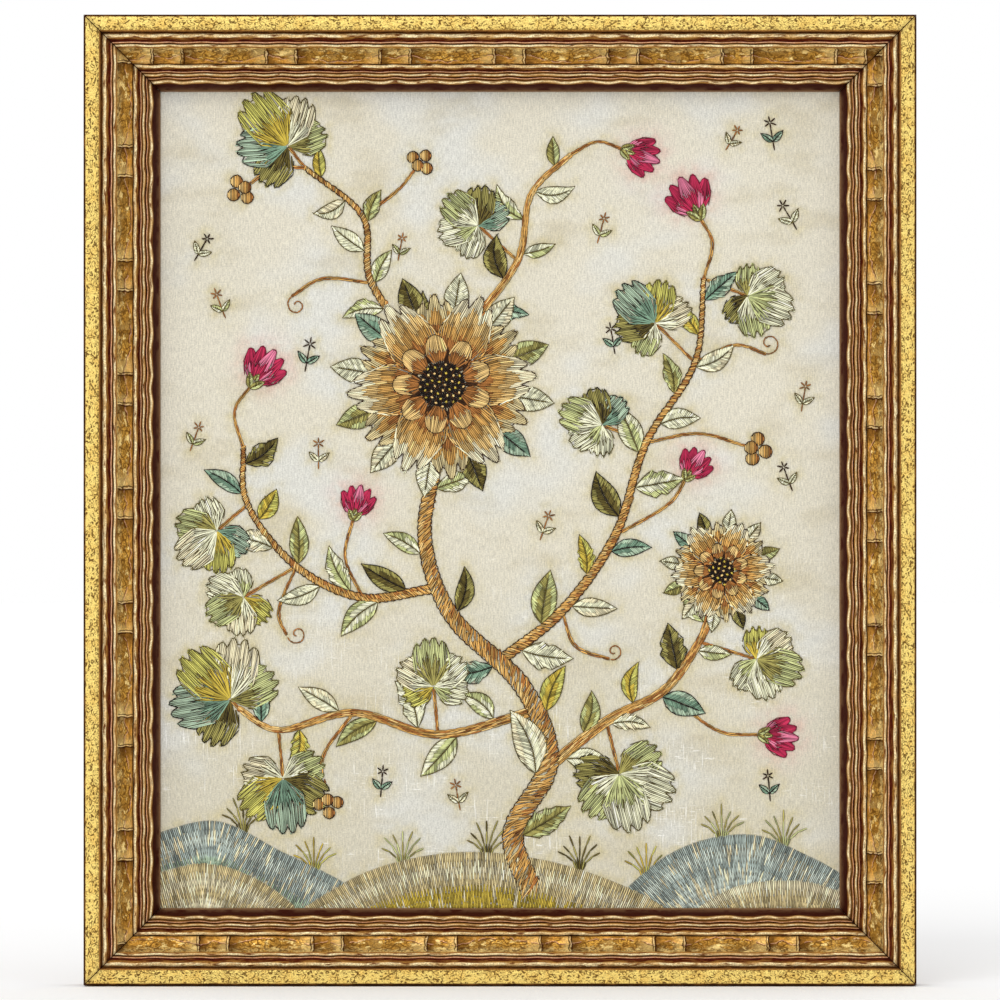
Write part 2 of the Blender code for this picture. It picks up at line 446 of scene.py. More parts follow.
# A rail: its length, where its outer edge lies from the picture's centre, its turn in degrees, a sharp
# crest near its middle in millimetres, and the end of each hollow that is painted in shade, as light from
# the upper left leaves it: 1 is the first end along the rail, and -1 the last
Rail = namedtuple("Rail", "node length reach turn first_crest toned_end")

RAILS = (
    Rail("rail_top", OUTER_WIDTH, OUTER_HEIGHT / 2, 0, -2.6, 1),
    Rail("rail_right", OUTER_HEIGHT, OUTER_WIDTH / 2, 90, 5.0, 1),
    Rail("rail_bottom", OUTER_WIDTH, OUTER_HEIGHT / 2, 180, 19.7, -1),
    Rail("rail_left", OUTER_HEIGHT, OUTER_WIDTH / 2, 270, -8.1, -1),
)

# How much too long each end of a rail is swept, for its mitre
SPARE_LENGTH = 6.0

# The joint of two rails is glued tight and shows as a dark hairline
MITRE_GAP = 0.08 * MM

# How far apart two rails lie in the noise that makes them uneven, so that no two are alike
SEED_STEP = 3.7

# Two facets of the moulding that meet at more than this show an edge
EDGE_ANGLE = math.radians(50)


def section_outline(settings):
    """Make the moulding's section as a closed outline that carries its ripple and finish."""
    points, ripple, tones, finishes, bare = [], [], [], [], []
    last = SECTION[-1]
    for stretch in SECTION:
        start = Vector((last.across, last.height, 0.0))
        run = Vector((stretch.across, stretch.height, 0.0)) - start
        out = Vector((-run.y, run.x, 0.0)).normalized()
        power = BEAD_ROUNDNESS if stretch.bulge > 0 else 1.0
        finish = FINISHES[stretch.finish]
        crest_tone, foot_tone = (Vector(getattr(settings, name)) for name in (finish.colour, finish.foot))
        middle_tone = Vector(settings.bronze_colour) if crest_tone != foot_tone else crest_tone
        for step in range(1, stretch.steps + 1):
            share = step / stretch.steps
            arch = (4 * share * (1 - share)) ** power if share < 1 else 0.0
            points.append((start + run * share + out * stretch.bulge * arch) * MM)
            cup = stretch.cup * math.sin(math.pi * share) ** 0.7 if share < 1 else 0.12 * stretch.cup
            ripple.append((stretch.sway * MM, stretch.swell * MM, cup * CUP_DEPTH * MM))
            # Across a bead its tone runs from the foot colour through bronze to the crest colour: the bright
            # crest is a painted highlight on the leaf, and the dark foot is clay, partly painted shade
            lean = min(share * HIGHLIGHT_LEAN, 1.0)
            gilt = min(max((4 * lean * (1 - lean) - GILT_AND_HIGHLIGHT_START) / GILT_AND_HIGHLIGHT_SPAN, 0.0), 1.0)
            low, high = (foot_tone, middle_tone) if gilt < 0.5 else (middle_tone, crest_tone)
            tones.append((*low.lerp(high, 2 * gilt % 1 if gilt < 1 else 1.0), 1.0))
            finishes.append((finish.leaf, finish.dirt, finish.scoop))
            bare.append(float(stretch.finish == "wood"))
        last = stretch
    count = len(points)
    edges = [(index, (index + 1) % count) for index in range(count)]
    outline = temporary_object("section", points, edges)
    store(outline.data, "ripple", "FLOAT_VECTOR", ripple)
    store(outline.data, "tone", "FLOAT_COLOR", tones)
    store(outline.data, "finish", "FLOAT_VECTOR", finishes)
    store(outline.data, "place", "FLOAT_VECTOR", [tuple(point) for point in points])
    store(outline.data, "bare", "FLOAT", bare)
    return outline


def rail_path(rail, settings):
    """Make a straight path with a point at every station, closer together at the sharp crests."""
    end = rail.length / 2 / MM + SPARE_LENGTH
    short, long = settings.short_hollow / MM, settings.long_hollow / MM
    half_ridge = settings.ridge_half_width / MM / 2
    repeat = short + 2 * long
    stations = []
    place = rail.first_crest - repeat * math.ceil((end + rail.first_crest) / repeat)
    while place < end:
        for hollow in (short, long, long):
            steps = round(hollow / (settings.station_step / MM))
            stations.extend(place + hollow * step / steps for step in range(steps))
            place += hollow
        crests = (place - repeat, place - repeat + short)
        stations.extend(crest + side * half_ridge for crest in crests for side in (-1, 1))
    stations = sorted(station for station in stations if abs(station) < end)
    points = [(station * MM, 0.0, 0.0) for station in stations]
    path = temporary_object("path", points, [(i, i + 1) for i in range(len(points) - 1)])
    store(path.data, "run", "FLOAT", [point[0] for point in points])
    return path


def moulding_tree():
    """Sweep the section along a path, and ripple it: hollows with sharp and soft crests between."""
    tree, given = start_tree("ripple moulding", (
        ("Section", "Object"), ("First Crest", "Float"), ("Short Hollow", "Float"), ("Long Hollow", "Float"),
        ("Ridge Half Width", "Float"), ("Ridge Height", "Float"), ("Soft Crest", "Float"),
        ("Unevenness", "Float"), ("Toned End", "Float"), ("Seed", "Float"), ("Gilding", "Material"),
        ("Wood", "Material"),
    ))
    add = partial(add_node, tree)
    short, long = given["Short Hollow"], given["Long Hollow"]
    run, bare = (add("GeometryNodeInputNamedAttribute", None, {"Name": name}) for name in ("run", "bare"))
    spot, ripple = (
        add("ShaderNodeSeparateXYZ", None, {
            "Vector": add("GeometryNodeInputNamedAttribute", {"data_type": "FLOAT_VECTOR"}, {"Name": name}),
        }).outputs
        for name in ("place", "ripple")
    )
    outline = add("GeometryNodeObjectInfo", None, {"Object": given["Section"]}).outputs["Geometry"]
    swept = add("GeometryNodeCurveToMesh", None, {
        "Curve": add("GeometryNodeMeshToCurve", None, {"Mesh": given["Geometry"]}),
        "Profile Curve": add("GeometryNodeMeshToCurve", None, {"Mesh": outline}),
    })

    # Where a point lies in its repeat, and in its hollow from 0 to 1
    repeat = add(("MULTIPLY_ADD", long, 2.0, short))
    place = add(("FLOORED_MODULO", ("SUBTRACT", run, given["First Crest"]), repeat))
    past_first = add(("GREATER_THAN", place, short))
    past_second = add(("GREATER_THAN", place, ("ADD", short, long)))
    start = ("ADD", ("MULTIPLY", past_first, short), ("MULTIPLY", past_second, long))
    hollow = ("MULTIPLY_ADD", past_first, ("SUBTRACT", long, short), short)
    share = add(("DIVIDE", ("SUBTRACT", place, start), hollow))

    # The wave is 1 on a crest and -1 in a hollow; the cup is a parabola up to a sharp crest
    wave = add(("COSINE", ("MULTIPLY", share, math.tau)))
    sharp = add(("POWER", ("ABSOLUTE", ("MULTIPLY_ADD", share, 2.0, -1.0)), 2.0))
    soft = ("MULTIPLY", ("MULTIPLY_ADD", wave, 0.5, 0.5), given["Soft Crest"])
    late = add(("GREATER_THAN", share, 0.5))
    soft_end = ("MULTIPLY", ("SUBTRACT", past_first, past_second), late)
    soft_start = ("MULTIPLY", past_second, ("SUBTRACT", 1.0, late))
    use_soft = add(("ADD", soft_end, soft_start))
    cup = ("MULTIPLY_ADD", ("SUBTRACT", soft, sharp), use_soft, sharp)

    # How far up the side of a hollow a point lies: 1 at the end painted in shade and -1 at the end painted
    # with a highlight
    lean = ("MULTIPLY", ("MULTIPLY_ADD", share, -2.0, 1.0), given["Toned End"])
    lean = ("MULTIPLY", lean, ("MULTIPLY_ADD", use_soft, -0.6, 1.0))

    # The thin ridge on each sharp crest; the crest's gap is signed, and negative inside a short hollow
    half_repeat = ("MULTIPLY", repeat, 0.5)
    from_middle = ("WRAP", ("MULTIPLY_ADD", short, -0.5, place), half_repeat, ("MULTIPLY", repeat, -0.5))
    crest = add(("MULTIPLY_ADD", short, -0.5, ("ABSOLUTE", from_middle)))
    near = ("DIVIDE", ("ABSOLUTE", crest), given["Ridge Half Width"])
    ridge = ("POWER", ("MAXIMUM", ("SUBTRACT", 1.0, near), 0.0), 0.8)
    cup = ("MULTIPLY_ADD", ridge, given["Ridge Height"], cup)

    # The hand's unevenness: one noise for each hollow's depth, one for the beads' waver
    depth_place = add("ShaderNodeCombineXYZ", None, {
        "X": ("MULTIPLY", run, 1 / (21.0 * MM)), "Z": given["Seed"],
    })
    depth = add("ShaderNodeTexNoise", None, {"Vector": depth_place, "Scale": 1.0, "Detail": 1.0})
    depth = ("MULTIPLY_ADD", ("SUBTRACT", depth, 0.5), given["Unevenness"], 1.0)
    waver_place = add("ShaderNodeCombineXYZ", None, {
        "X": ("MULTIPLY", run, 1 / (5.5 * MM)),
        "Y": ("MULTIPLY", spot["X"], 1 / (2.6 * MM)),
        "Z": given["Seed"],
    })
    waver = add("ShaderNodeTexNoise", None, {"Vector": waver_place, "Scale": 1.0, "Detail": 2.0})
    waver = add(("MULTIPLY", ("SUBTRACT", waver, 0.5), 1.5))

    sway, swell, cupping = ripple
    swing = add(("ADD", wave, waver))
    raised = ("MULTIPLY_ADD", swell, swing, spot["Y"])
    raised = ("MULTIPLY_ADD", ("MULTIPLY", cupping, depth), cup, raised)
    moved = add("ShaderNodeCombineXYZ", None, {
        "X": ("ADD", run, overlap(cupping, waver, 0.8)),
        "Y": ("MULTIPLY", raised, -1.0),
        "Z": ("MULTIPLY", ("MULTIPLY_ADD", sway, swing, spot["X"]), -1.0),
    })
    solid = add("GeometryNodeSetPosition", None, {"Geometry": swept, "Position": moved})
    for name, value in (("wave", wave), ("crest", crest), ("lean", lean)):
        solid = add("GeometryNodeStoreNamedAttribute", None, {
            "Geometry": solid, "Name": name, "Value": value,
        })
    solid = add("GeometryNodeRealizeInstances", None, {"Geometry": solid})
    solid = add("GeometryNodeSetMaterial", None, {"Geometry": solid, "Material": given["Gilding"]})
    solid = add("GeometryNodeSetMaterial", None, {
        "Geometry": solid, "Selection": ("GREATER_THAN", bare, 0.99), "Material": given["Wood"],
    })
    add("NodeGroupOutput", None, {"Geometry": solid})
    return tree


def along_rail(tree):
    """Directions that follow the moulding, in metres: X along the rail, Y across it and Z up.

    Returns them together, and the one across the rail by itself.
    """
    run = add_node(tree, "ShaderNodeAttribute", {"attribute_name": "run"}).outputs["Fac"]
    place = add_node(tree, "ShaderNodeAttribute", {"attribute_name": "place"}).outputs["Vector"]
    across, above, _none = add_node(tree, "ShaderNodeSeparateXYZ", None, {"Vector": place}).outputs
    return add_node(tree, "ShaderNodeCombineXYZ", None, {"X": run, "Y": across, "Z": above}), across


def gilt_material(settings):
    """Water gilding on red clay: burnished gold leaf, rubbed, cracked and dirty.

    The leaf is a metal, so it takes the colour of the light on its crests; the clay and the dirt are
    matt, so the grooves and specks stay dark from any side. Painted highlights and painted shade lie on
    the beads' crests, the cross ridges, the grooves, the ends of the scoop's hollows and the lip.
    """
    material, tree, shader = start_material("burnished gold leaf on red clay")
    add = partial(add_node, tree)
    along, across = along_rail(tree)
    pattern = partial(mottle, tree, along)
    tone = add("ShaderNodeAttribute", {"attribute_name": "tone"}).outputs["Color"]
    finish = add("ShaderNodeAttribute", {"attribute_name": "finish"}).outputs["Vector"]
    leaf, dirt, scoop = add("ShaderNodeSeparateXYZ", None, {"Vector": finish}).outputs
    wave, crest, lean, joint = (
        add("ShaderNodeAttribute", {"attribute_name": name}).outputs["Fac"]
        for name in ("wave", "crest", "lean", "joint")
    )
    gap = add(("ABSOLUTE", crest))

    def strokes(length, turn, spacing):
        """Fine bent strokes: the contours of a slanted noise."""
        contours = ("PINGPONG", pattern(length, 1.5, (0.7, 1.15, 1.0), turn, 0.6), spacing)
        return "SMOOTHSTEP", contours, 0.46 * spacing, 0.17 * spacing

    def near_crest(reach):
        """1 on a sharp crest, fading away past a reach in metres."""
        return "EXPONENT", ("MULTIPLY", ("POWER", ("MULTIPLY", gap, 1 / reach), 2.0), -1.0)

    # Leaf laid unevenly: clouds 5 mm across, and a grain the eye just sees
    cloud = pattern(5 * MM, 3.0)
    grain = pattern(0.7 * MM, roughness=0.7)
    lively = add("ShaderNodeMapRange", None, {
        "Value": grain, "From Min": 0.3, "From Max": 0.7, "To Min": 0.72, "To Max": 1.24,
    })
    base = add("ShaderNodeMix", {"data_type": "RGBA", "blend_type": "MULTIPLY"}, {
        "Factor": overlap(("SMOOTHSTEP", cloud, 0.4, 0.7), 0.3), "A": tone, "B": settings.thin_colour,
    })
    base = add("ShaderNodeHueSaturation", None, {"Color": base, "Value": lively})

    # The beads' leaf is toned in stretches, and worn in streaks 5 mm long to bronze and to the clay; on
    # the bare clay the same streaks leave glints of leaf and black dirt
    bead = add(overlap(leaf, rest(("MAXIMUM", scoop, ("GREATER_THAN", dirt, 0.9)))))
    above_lip = add(("LESS_THAN", across, LIP_START * MM))
    clay = add(overlap(rest(("MINIMUM", ("MULTIPLY", leaf, 4.0), 1.0)), above_lip))
    streak = add(("MULTIPLY_ADD", wave, 0.04, pattern(0.8 * MM, 3.0, (0.16, 1.0, 0.3), 0.0, 0.6)))
    stretches = ("SMOOTHSTEP", pattern(2 * MM, 2.0, (0.22, 1.0, 1.0)), 0.54, 0.42)
    worn = add(overlap(("SMOOTHSTEP", streak, 0.48, 0.36), bead, 0.85))
    coats = [
        (settings.toned_colour, stretches, bead, 0.5),
        (settings.bronze_colour, worn),
        (settings.bole_colour, ("SMOOTHSTEP", streak, 0.39, 0.33), bead, 0.8),
        (settings.bronze_colour, ("SMOOTHSTEP", streak, 0.54, 0.64), clay, 0.42),
        (settings.soot_colour, ("SMOOTHSTEP", streak, 0.46, 0.36), clay, 0.65),
    ]

    # Scoop: pale leaf down its outer side, painted shade below and beside each sharp crest, hatched all over,
    # and bright leaf in brushed streaks brightened as painted glints
    brushed = pattern(2.6 * MM, 4.0, (0.55, 1.0, 1.0), 0.75, 0.7)
    broad = pattern(6 * MM, 4.0, (0.6, 1.0, 1.0), 0.75, 0.65)
    pale_side = add(overlap(
        ("SMOOTHSTEP", across, 17.6 * MM, 15.3 * MM), ("SMOOTHSTEP", brushed, 0.36, 0.56)
    ))
    crest_shade_patch = overlap(("SMOOTHSTEP", broad, 0.58, 0.4), ("MULTIPLY_ADD", near_crest(4.2 * MM), 0.35, 0.55))
    hatch = ("MAXIMUM", strokes(5.4 * MM, 0.7, 0.075), overlap(strokes(2.2 * MM, 0.8, 0.09), 0.8))
    umber_and_shade = ("MAXIMUM", overlap(crest_shade_patch, rest(pale_side)), overlap(hatch, 0.78))
    umber_and_shade = add(overlap(umber_and_shade, scoop))
    coats += [
        (settings.bright_leaf_and_highlight_colour, pale_side, scoop, 0.85),
        (settings.umber_and_shade_colour, umber_and_shade),
        (settings.bright_leaf_and_highlight_colour, ("SMOOTHSTEP", brushed, 0.55, 0.64), scoop),
    ]

    # Amber beyond a border that comes forward beside each sharp crest
    swing = ("MULTIPLY", ("SUBTRACT", cloud, 0.5), 3.5 * MM)
    border = ("ADD", ("MULTIPLY_ADD", near_crest(8 * MM), -2.6 * MM, 20.9 * MM), swing)
    beyond = add(("SUBTRACT", across, border))
    amber = lay_coats(tree, settings.amber_colour, [
        (settings.umber_and_shade_colour, ("SMOOTHSTEP", streak, 0.56, 0.42), 0.5),
    ])
    thinned = overlap(rest(("SMOOTHSTEP", brushed, 0.52, 0.4), 0.75), ("SMOOTHSTEP", brushed, 0.7, 0.6))
    coats += [(amber, ("SMOOTHSTEP", beyond, 0.0, 0.3 * MM), scoop, thinned, 0.9)]

    # Painted shade in one end of each hollow and a painted highlight at the other end, as light from the
    # upper left falls into the cupped hollows
    ragged = add(("MULTIPLY_ADD", ("SUBTRACT", broad, 0.5), 1.1, lean))
    coats += [
        (settings.bright_leaf_and_highlight_colour, ("SMOOTHSTEP", ragged, -0.1, -0.85), scoop, 0.4),
        (settings.umber_and_shade_colour, ("SMOOTHSTEP", ragged, 0.12, 0.9), scoop, 0.68),
    ]

    # A broken pale line on the amber's border, a painted highlight, with its painted shadow
    broken = add(overlap(scoop, ("SMOOTHSTEP", pattern(4 * MM), 0.4, 0.5)))
    shadow_line = ("SMOOTHSTEP", ("ABSOLUTE", ("ADD", beyond, 0.35 * MM)), 0.35 * MM, 0.1 * MM)
    pale_line = ("SMOOTHSTEP", ("ABSOLUTE", beyond), 0.26 * MM, 0.05 * MM)
    coats += [
        (settings.bole_colour, shadow_line, broken, 0.7),
        (settings.rubbed_clay_and_highlight_colour, pale_line, broken, 0.45),
    ]

    # Dirt: specks 0.5 mm across, bent strokes, cracks across the leaf 12 mm apart, and grime by the step
    crack_place = add("ShaderNodeMapping", None, {
        "Vector": along, "Scale": (1 / (12 * MM), 1 / (9 * MM), 1 / (9 * MM)),
    })
    crack = add("ShaderNodeTexVoronoi", {"feature": "DISTANCE_TO_EDGE"}, {
        "Vector": crack_place, "Scale": 1.0,
    })
    crack = overlap(("SMOOTHSTEP", crack, 0.022, 0.01), ("SMOOTHSTEP", cloud, 0.5, 0.58), 0.8)
    stroke = overlap(
        strokes(2.6 * MM, -0.6, 0.1), ("SMOOTHSTEP", pattern(2.4 * MM, 1.0), 0.37, 0.47), 0.9
    )
    thick = ("MULTIPLY_ADD", ("SMOOTHSTEP", cloud, 0.4, 0.6), 0.35, 0.1)
    speck = overlap(("SMOOTHSTEP", grain, 0.47, 0.37), thick)
    by_step = overlap(
        ("SMOOTHSTEP", across, 4.6 * MM, 6.6 * MM), ("SMOOTHSTEP", grain, 0.56, 0.42), 0.6
    )
    grime = ("MAXIMUM", ("MAXIMUM", speck, stroke), ("MAXIMUM", crack, by_step))
    grime = add(overlap(grime, dirt))
    coats += [(settings.patina_colour, grime)]

    # Each cross ridge wanders, with a painted highlight on its top between lines of painted shade at its
    # sides
    bent = ("MULTIPLY_ADD", ("SUBTRACT", pattern(2.6 * MM), 0.5), 2.0 * MM, crest)
    bent = add(("ABSOLUTE", bent))
    ridge = add(overlap(scoop, ("SMOOTHSTEP", across, 14.9 * MM, 15.8 * MM)))
    sides = ("SMOOTHSTEP", ("ABSOLUTE", ("SUBTRACT", bent, 0.6 * MM)), 0.4 * MM, 0.1 * MM)
    top = overlap(("SMOOTHSTEP", bent, 0.34 * MM, 0.1 * MM), ("SMOOTHSTEP", brushed, 0.4, 0.52))
    coats += [(settings.dark_clay_and_shade_colour, sides, ridge, 0.85), (settings.ridge_highlight_colour, top, ridge, 0.75)]

    # The lip is painted lighter and browner toward the silk, as painted light falling on it
    rubbed = overlap(("SMOOTHSTEP", across, 31.6 * MM, 33.4 * MM), ("SMOOTHSTEP", cloud, 0.3, 0.6))
    coats += [(settings.lip_foot_and_light_colour, rubbed, rest(above_lip), 0.4)]

    # The mitre shows as a dark hairline with a little dirt along it
    by_joint = overlap(("SMOOTHSTEP", joint, 2.2 * MM, 0.2 * MM), 0.35)
    hairline = ("SMOOTHSTEP", joint, 0.3 * MM, 0.14 * MM)
    coats += [(settings.dark_clay_and_shade_colour, ("MAXIMUM", by_joint, hairline))]

    # Only clean leaf is metal; on the beads it is made mostly matt, so that their cream crests show as a
    # painted highlight
    metal = add(overlap(leaf, rest(grime, 0.9), rest(worn, 0.6), rest(umber_and_shade, 0.5), rest(bead, 0.7), 0.78))
    rough = ("MULTIPLY_ADD", ("SUBTRACT", cloud, 0.5), 0.15, ("MULTIPLY_ADD", metal, -0.3, 0.64))
    relief = ("MULTIPLY_ADD", grain, 0.6, pattern(1.2 * MM, 2.0, (0.6, 1.0, 1.0)))
    connect(tree, shader, {
        "Base Color": lay_coats(tree, base, coats),
        "Metallic": metal,
        "Roughness": rough,
        "Normal": add("ShaderNodeBump", None, {"Strength": 0.8, "Distance": 0.2 * MM, "Height": relief}),
        "Specular IOR Level": 0.05,
    })
    return material


def wood_material(settings):
    """Planed softwood with a thin wash of ochre: straight grain along the rail, matt."""
    material, tree, shader = start_material("planed softwood")
    along, _across = along_rail(tree)

    # Growth rings 2.5 mm apart, drawn out thirty times along the rail
    drawn_out = (0.03, 1.0, 1.0)
    rings = mottle(tree, along, 2.5 * MM, 4.0, drawn_out)
    fibre = mottle(tree, along, 0.4 * MM, 2.0, drawn_out)
    ramp = add_node(tree, "ShaderNodeMapRange", None, {
        "Value": rings, "From Min": 0.35, "From Max": 0.65,
    })
    connect(tree, shader, {
        "Base Color": lay_coats(tree, settings.wood_colour, [(settings.ring_colour, ramp)]),
        "Normal": add_node(tree, "ShaderNodeBump", None, {
            "Strength": 0.3, "Distance": 0.15 * MM, "Height": fibre,
        }),
        "Roughness": 0.72,
    })
    return material


def cut_mitres(mesh, rail):
    """Cut both ends of a straight rail at 45 degrees, and store how far each point lies from the cut."""
    body = bmesh.new()
    body.from_mesh(mesh)
    for side in (-1, 1):
        corner = Vector((side * rail.length / 2, 0.0, 0.0))
        outward = Vector((side, 0.0, -1.0)).normalized()
        cut = bmesh.ops.bisect_plane(
            body,
            geom=body.verts[:] + body.edges[:] + body.faces[:],
            dist=1e-7,
            plane_co=corner - outward * MITRE_GAP / 2,
            plane_no=outward,
            clear_outer=True,
        )
        rim = [item for item in cut["geom_cut"] if isinstance(item, bmesh.types.BMEdge)]
        bmesh.ops.edgeloop_fill(body, edges=rim)
    bmesh.ops.recalc_face_normals(body, faces=body.faces)
    body.to_mesh(mesh)
    body.free()
    spots = np.empty(3 * len(mesh.vertices), np.float32)
    mesh.vertices.foreach_get("co", spots)
    x, _y, z = spots.reshape(-1, 3).T
    store(mesh, "joint", "FLOAT", (rail.length / 2 - np.abs(x) + z) / math.sqrt(2))


def build_rails(settings):
    tree = moulding_tree()
    outline = section_outline(settings)
    gilding = gilt_material(settings)
    wood = wood_material(settings)
    for number, rail in enumerate(RAILS):
        path = rail_path(rail, settings)
        mesh = bake_tree(path, tree, {
            "Section": outline,
            "First Crest": rail.first_crest * MM,
            "Short Hollow": settings.short_hollow,
            "Long Hollow": settings.long_hollow,
            "Ridge Half Width": settings.ridge_half_width,
            "Ridge Height": settings.ridge_height,
            "Soft Crest": settings.soft_crest,
            "Unevenness": settings.unevenness,
            "Toned End": float(rail.toned_end),
            "Seed": SEED_STEP * number,
            "Gilding": gilding,
            "Wood": wood,
        })
        remove_object(path)
        cut_mitres(mesh, rail)
        turn = Matrix.Rotation(math.radians(rail.turn), 4, "Y")
        mesh.transform(Matrix.Translation(CENTRE) @ turn @ Matrix.Translation((0.0, 0.0, rail.reach)))
        mesh.shade_smooth()
        mesh.set_sharp_from_angle(angle=EDGE_ANGLE)
        piece = add_piece("gilt_" + rail.node, mesh)
        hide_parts(rail.node)
    remove_object(outline)


# Needlework: a point on the silk is a complex number, in millimetres right and up from its middle

Stitch = namedtuple("Stitch", "start end girth shade tint lift")

# From one satin stitch to the next, in millimetres
PITCH = 0.8

# Fixed seed of the hand's unevenness
HAND_SEED = 11

# Side of one cell in the map of silk that is already worked, half the width that a stitch covers in it,
# and the distance between the marks at which a line is looked up in it
CELL = 0.5
COVERED = 0.24
MARK_STEP = 0.4

# The least length of a stitch, the most that one stitch spans in a leaf, and how far a stitch's end and
# its side go under the motif in front
SHORTEST = 0.7
LONGEST = 4.4
TUCK = 0.6
UNDER = 0.3

# Silk left bare along the frame's lip
EDGE_GAP = 0.25

# How high outlines, and the seeds and veins on a motif, lie above its fill, and how thin an outline is
OUTLINE_LIFT = 0.07
TOP_LIFT = 0.16
OUTLINE_GIRTH = 0.5

# How much one strand's dye differs from the next. Every third strand or so is painted this dark, as
# painted shade on a strand that lies deep between its neighbours
TINT_SPREAD = 0.15
SHADED_STRAND_SHARE = 0.34
SHADED_STRAND_TINT = 0.6


def cell(point):
    """The cell of the map that a point lies in."""
    return point.real // CELL, point.imag // CELL


class Needle:
    """Works the silk from the front motifs to those behind, so that no silk is worked twice."""

    def __init__(self, seed):
        self.random = random.Random(seed)
        self.worked = set()
        self.motif = set()
        self.stitches = []

    def about(self, value, share=0.1):
        """A value, more or less."""
        return value * (1 + self.random.uniform(-share, share))

    def free(self, point):
        """Tell if a point is inside the frame and on silk that no finished motif covers."""
        inside = abs(point.real) < SIGHT_X - EDGE_GAP and abs(point.imag) < SIGHT_Y - EDGE_GAP
        return inside and cell(point) not in self.worked

    def beside_fill(self, point):
        """Tell if the motif that is being worked has fill at a point or right beside it."""
        column, row = cell(point)
        return any((column + i, row + j) in self.motif for i in (-1, 0, 1) for j in (-1, 0, 1))

    def lay(self, start, end, shade, girth=1.0, lift=0.0):
        """Lay a stitch in every part of a line that is free, a little way under a finished motif's edge."""
        steps = max(3, int(abs(end - start) / MARK_STEP))
        way = (end - start) / abs(end - start)
        runs = [[]]
        for step in range(steps + 1):
            mark = start + (end - start) * step / steps
            sides = (0, 1, -1) if not lift else (0,)
            usable = any(self.free(mark + 1j * way * UNDER * side) for side in sides)
            if usable and (lift != OUTLINE_LIFT or self.beside_fill(mark)):
                runs[-1].append(mark)
            elif runs[-1]:
                runs.append([])
        for run in runs:
            if len(run) > 1 and abs(run[-1] - run[0]) >= min(SHORTEST, abs(end - start)):
                tint = self.random.gauss(1.0, TINT_SPREAD)
                if not lift:
                    across = [1j * way * COVERED * side for side in (-1, 0, 1)]
                    self.motif.update(cell(mark + aside) for mark in run for aside in across)
                    # Painted shade: a strand that lies deep between its neighbours is darkened
                    if self.random.random() < SHADED_STRAND_SHARE:
                        tint *= SHADED_STRAND_TINT
                first = start if run[0] == start else run[0] - way * TUCK
                last = end if run[-1] == end else run[-1] + way * TUCK
                self.stitches.append(Stitch(first, last, self.about(girth), shade, tint, lift))

    def chain(self, points, shades, girth=1.0, lift=0.0):
        """Lay stitches end to end, with a little wander at each join."""
        wander = [point + complex(self.random.uniform(-0.12, 0.12), self.random.uniform(-0.12, 0.12))
                  for point in points]
        for start, end in zip(wander, wander[1:]):
            self.lay(start, end + (end - start) * 0.12, self.random.choice(shades), girth, lift)

    def finish_motif(self):
        """Put down what a motif covers, so that the ones behind it stop at its edge."""
        self.worked |= self.motif
        self.motif = set()


def smooth_path(points, step):
    """Follow a smooth curve through the points, with a point every step."""
    points = [complex(*point) if isinstance(point, tuple) else point for point in points]
    padded = [2 * points[0] - points[1], *points, 2 * points[-1] - points[-2]]
    dense = []
    for a, b, c, d in zip(padded, padded[1:], padded[2:], padded[3:]):
        count = max(2, int(abs(c - b) / MARK_STEP))
        for index in range(count):
            t = index / count
            dense.append(0.5 * (2 * b + (c - a) * t + (2 * a - 5 * b + 4 * c - d) * t * t
                                + (3 * b - a - 3 * c + d) * t ** 3))
    dense.append(points[-1])
    spaced, travelled = [dense[0]], 0.0
    for start, end in zip(dense, dense[1:]):
        travelled += abs(end - start)
        if travelled >= step:
            spaced.append(end)
            travelled = 0.0
    if travelled > 0.4 * step:
        spaced.append(dense[-1])
    return spaced


def headings(path):
    """The direction of a path at each of its points, as a unit number."""
    ends = [path[0], *path, path[-1]]
    return [(after - before) / max(abs(after - before), 1e-6) for before, after in zip(ends, ends[2:])]


def thick_stem(needle, points, start_width, end_width):
    """Slanted satin stitches across a stem, in two columns where it is wide, with scalloped edges."""
    path = smooth_path(points, PITCH * 0.92)
    count = len(path)
    edges = {1: [], -1: []}
    for number, (point, way) in enumerate(zip(path, headings(path))):
        half = (start_width + (end_width - start_width) * number / count) / 2
        slant = way * half * needle.about(0.55, 0.3)
        left = point + 1j * way * needle.about(half, 0.14) - slant
        right = point - 1j * way * needle.about(half, 0.14) + slant
        if half > 1.6:
            middle = point + 1j * way * needle.random.uniform(-0.4, 0.4) * half
            left_end = middle + slant * 0.75 - 0.3j * way
            right_start = middle - slant * 0.75 + 0.3j * way
            needle.lay(left, left_end, needle.random.choice(("honey", "ochre", "ochre")))
            needle.lay(right_start, right, needle.random.choice(("ochre", "ochre", "rust")))
        else:
            needle.lay(left, right, needle.random.choice(("ochre", "honey", "ochre", "rust")), 0.95)
        if number % 2:
            scallop = half * 1.1 - 0.5 * (number % 4 == 1)
            edges[1].append(point + 1j * way * scallop)
            edges[-1].append(point - 1j * way * scallop)
    for edge in edges.values():
        needle.chain(edge, ("brown",), OUTLINE_GIRTH, OUTLINE_LIFT)
    needle.finish_motif()


def twig(needle, points, shades, rows=1, girth=0.9, stitch=3.1, taper=1.0):
    """Stem stitch along a thin twig, one or more rows side by side, closer together towards its end."""
    path = smooth_path(points, stitch)
    ways = headings(path)
    for row in range(rows):
        offset = (row - (rows - 1) / 2) * 0.72
        shifted = [point + 1j * way * offset * (1 - (1 - taper) * number / len(path))
                   for number, (point, way) in enumerate(zip(path, ways))]
        if row % 2:
            middles = [(a + b) / 2 for a, b in zip(shifted, shifted[1:])]
            shifted = [shifted[0], *middles, shifted[-1]]
        needle.chain(shifted, shades, girth)


